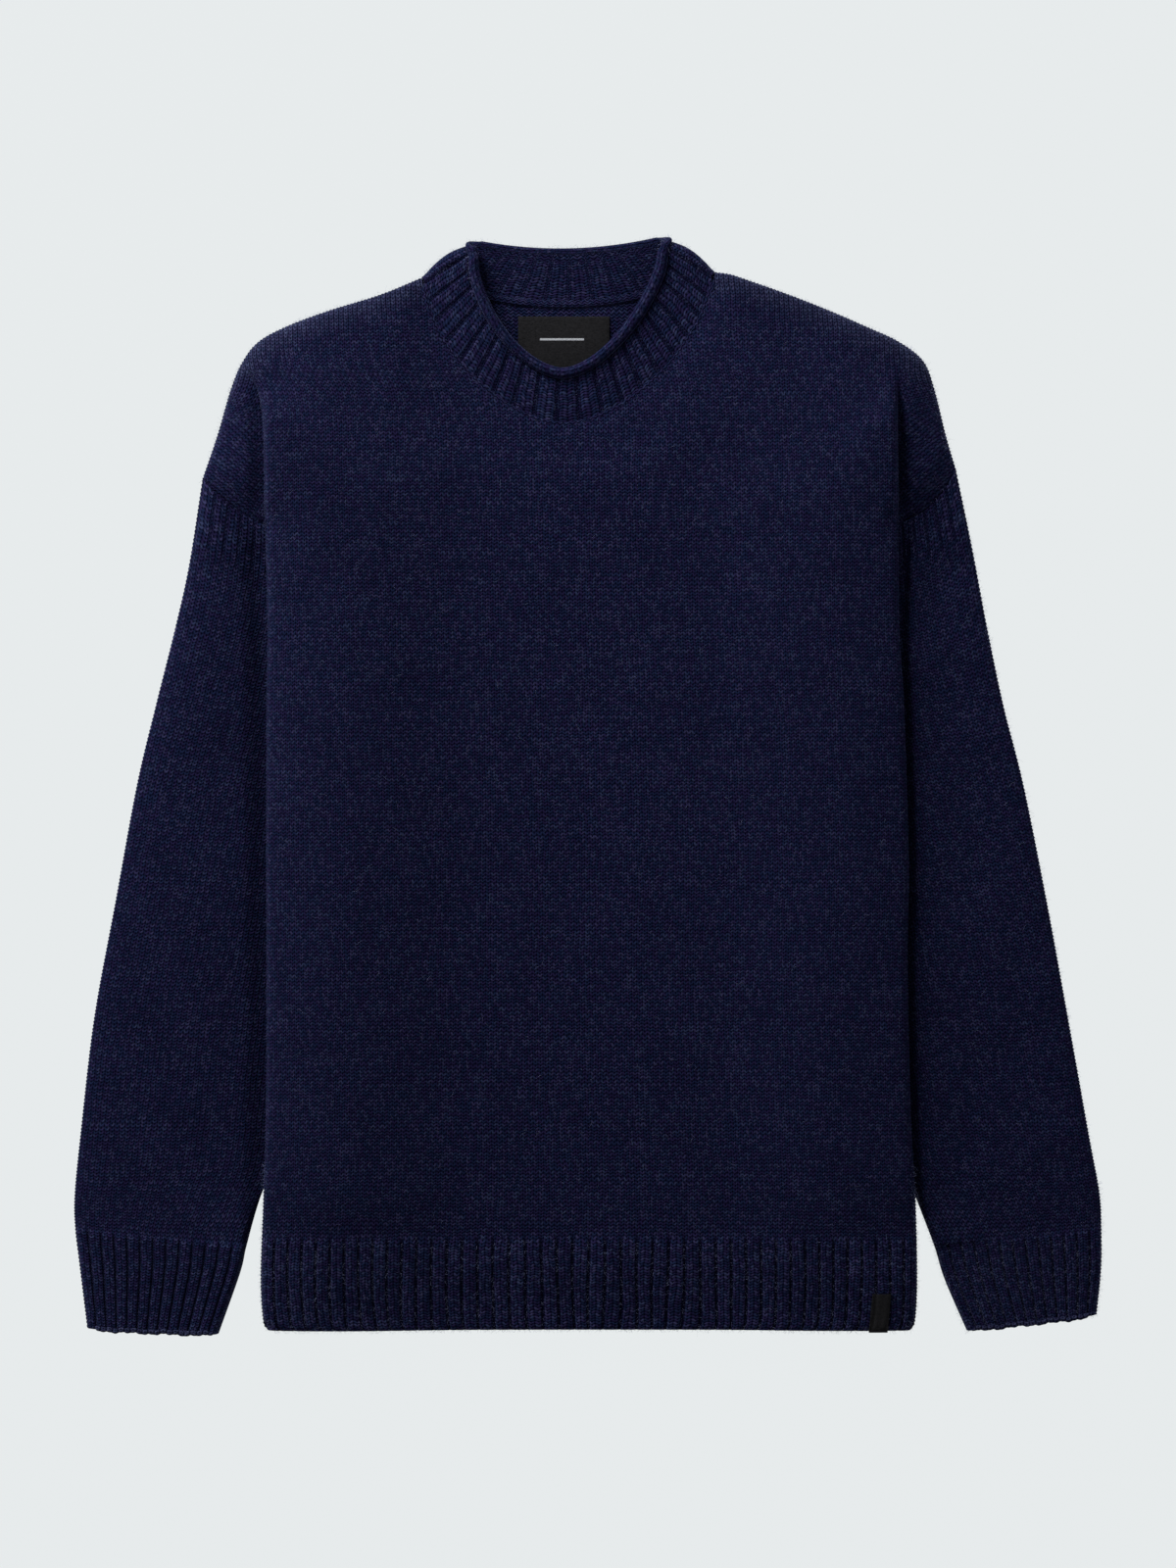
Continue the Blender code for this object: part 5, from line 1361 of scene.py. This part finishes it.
def fibres(name, paths, radius, finish):
    """Thin closed three-sided threads, each tapering along its own path to a point."""
    count, steps = paths.shape[:2]
    ahead = unit(paths[:, -1] - paths[:, 0])
    square = unit(np.cross(ahead, random.normal(size=ahead.shape)))
    other = np.cross(ahead, square)
    points = np.empty((count, steps * 3 + 1, 3))
    for step in range(steps):
        for corner, angle in enumerate((0.0, 2 * math.pi / 3, 4 * math.pi / 3)):
            out = square * math.cos(angle) + other * math.sin(angle)
            out = out * (radius * (1 - 0.7 * step / steps))[:, None]
            points[:, step * 3 + corner] = paths[:, step] + out
    points[:, -1] = paths[:, -1] + ahead * radius[:, None] * 2
    points[..., 2] = np.maximum(points[..., 2], SLIT)
    one = [(2, 1, 0)]
    for step in range(steps - 1):
        for corner in range(3):
            here, there = step * 3 + corner, step * 3 + (corner + 1) % 3
            one += [(here, there, there + 3), (here, there + 3, here + 3)]
    last = (steps - 1) * 3
    one += [(last + corner, last + (corner + 1) % 3, steps * 3) for corner in range(3)]
    faces = (np.array(one)[None] + np.arange(count)[:, None, None] * (steps * 3 + 1)).reshape(-1, 3)
    made = make_piece(name, points.reshape(-1, 3), faces.tolist(), {}, finish)
    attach(made, BODY)


def fibre_wool(name, colour):
    """A single fibre is paler than the yarn, as light passes into it."""
    hair = Finish(name, Base_Color=colour, Roughness=0.8, Specular_IOR_Level=0.1)
    shade = hair.noise(hair.scaled(hair.node("ShaderNodeTexCoord")["Object"], 900.0))
    hair.feed("Base Color", hair.mix(shade, tuple(part * 0.5 for part in colour[:3]) + (1.0,), colour))
    return hair.material


def across_of(facing):
    """A random direction in the surface at each spot."""
    return unit(np.cross(facing, random.normal(size=facing.shape)))


def on_outline(middles, normals):
    """Faces that turn away from the eye at the garment's outline, not in the creases beside the body."""
    x, y, z = middles.T
    (low_x, high_x), (low_y, high_y) = BESIDE_BODY
    beside_body = (np.abs(x) > low_x) & (np.abs(x) < high_x) & (y > low_y) & (y < high_y)
    (low_x, high_x), (low_y, high_y) = IN_NECK
    in_neck = (x > low_x) & (x < high_x) & (y > low_y) & (y < high_y)
    return (np.abs(normals[:, 2]) < FACING_UP) & (z > 1 * MM) & ~beside_body & ~in_neck


def on_cloth(middles, normals):
    """Faces of the upper layers that lie nearly flat."""
    return (normals[:, 2] > FACING_UP) & (middles[:, 2] > CLOTH_BOTTOM)


knits = [front, collar_band] + sleeves
spots, facing = surface_spots(knits, on_outline, FRINGE_COUNT)
steps = np.linspace(0, 1, FIBRE_STEPS)[None, :, None]
lengths = random.uniform(*FRINGE_LENGTHS, len(spots))[:, None, None]
leaning = (facing + across_of(facing) * random.uniform(*FRINGE_LEAN, (len(spots), 1)))[:, None, :]
curling = across_of(facing)[:, None, :]
paths = (spots - facing * 0.3 * MM)[:, None, :] + (leaning * steps + curling * steps ** 2 * 0.5) * lengths
fibres("loose_fibre_ends", paths, random.uniform(*FRINGE_THICKNESS, len(spots)) * FIBRE_RADIUS,
       fibre_wool("loose_wool", FRINGE_COLOUR))

spots, facing = surface_spots(knits, on_cloth, STRAY_COUNT)
lengths = random.uniform(*STRAY_LENGTHS, len(spots))[:, None, None]
along = across_of(facing)
curving = np.cross(facing, along)[:, None, :] * random.uniform(*STRAY_CURVE, (len(spots), 1, 1))
rising = facing[:, None, :] * (0.1 + 0.5 * steps)
paths = spots[:, None, :] + (along[:, None, :] * steps + curving * steps ** 2 + rising * 0.35) * lengths
fibres("stray_pale_fibres", paths, random.uniform(*STRAY_THICKNESS, len(spots)) * FIBRE_RADIUS,
       fibre_wool("stray_wool", STRAY_COLOUR))

# Floor, light and camera: a plain pale surface, seen from straight above. The soft light comes from the
# upper left. Two weak reflectors stand at the upper right and at the left.
CAMERA_HEIGHT = 3.0
SHOWN_HEIGHT = 0.992       # of the picture, at the height of the cloth
CLOTH_LEVEL = 0.010
LIGHT_PLACE = Vector((-0.95, 1.52, 0.73))
LIGHT_SIZE = 0.9
LIGHT_POWER = 50.0
FILL_PLACE = Vector((1.45, 0.95, 0.70))     # the reflector at the right
FILL_POWER = 6.6
SIDE_PLACE = Vector((-1.62, -0.12, 0.48))   # the one at the left
SIDE_POWER = 7.5
AMBIENT = (0.170, 0.170, 0.175, 1.0)
SENSOR = 36.0
PICTURE_MIDDLE_Y = 0.9 * MM
FLOOR_HALF = 40
FLOOR_LEVEL = -0.05 * MM
floor_mesh = bpy.data.meshes.new("floor")
floor_corners = [(x * FLOOR_HALF, y * FLOOR_HALF, 0) for x, y in ((-1, -1), (1, -1), (1, 1), (-1, 1))]
floor_mesh.from_pydata(floor_corners, [], [(0, 1, 2, 3)])
floor = bpy.data.objects.new("floor", floor_mesh)
floor.location.z = FLOOR_LEVEL
bpy.context.scene.collection.objects.link(floor)
paper = Finish("pale_floor", Base_Color=(0.004, 0.004, 0.004, 1.0), Roughness=1.0,
               Specular_IOR_Level=0.0, Emission_Color=(0.7945, 0.8265, 0.8350, 1.0), Emission_Strength=1.0)
floor_mesh.materials.append(paper.material)

world = bpy.data.worlds.new("soft_studio")
world.use_nodes = True
world.node_tree.nodes["Background"].inputs["Color"].default_value = AMBIENT
bpy.context.scene.world = world
for name, light_place, power in (("window", LIGHT_PLACE, LIGHT_POWER),
                                 ("reflector", FILL_PLACE, FILL_POWER),
                                 ("side_reflector", SIDE_PLACE, SIDE_POWER)):
    light_data = bpy.data.lights.new(name, "AREA")
    light_data.shape = "DISK"
    light_data.size = LIGHT_SIZE
    light_data.energy = power
    light = bpy.data.objects.new(name, light_data)
    light.location = light_place
    light.rotation_euler = light_place.to_track_quat("Z", "Y").to_euler()
    bpy.context.scene.collection.objects.link(light)

camera_data = bpy.data.cameras.new("camera")
camera_data.sensor_width = SENSOR
camera_data.lens = SENSOR * (CAMERA_HEIGHT - CLOTH_LEVEL) / SHOWN_HEIGHT
camera_data.clip_end = 100.0
camera = bpy.data.objects.new("camera", camera_data)
camera.location = (0.0, PICTURE_MIDDLE_Y, CAMERA_HEIGHT)
bpy.context.scene.collection.objects.link(camera)
bpy.context.scene.camera = camera
bpy.context.scene.view_settings.view_transform = "Standard"
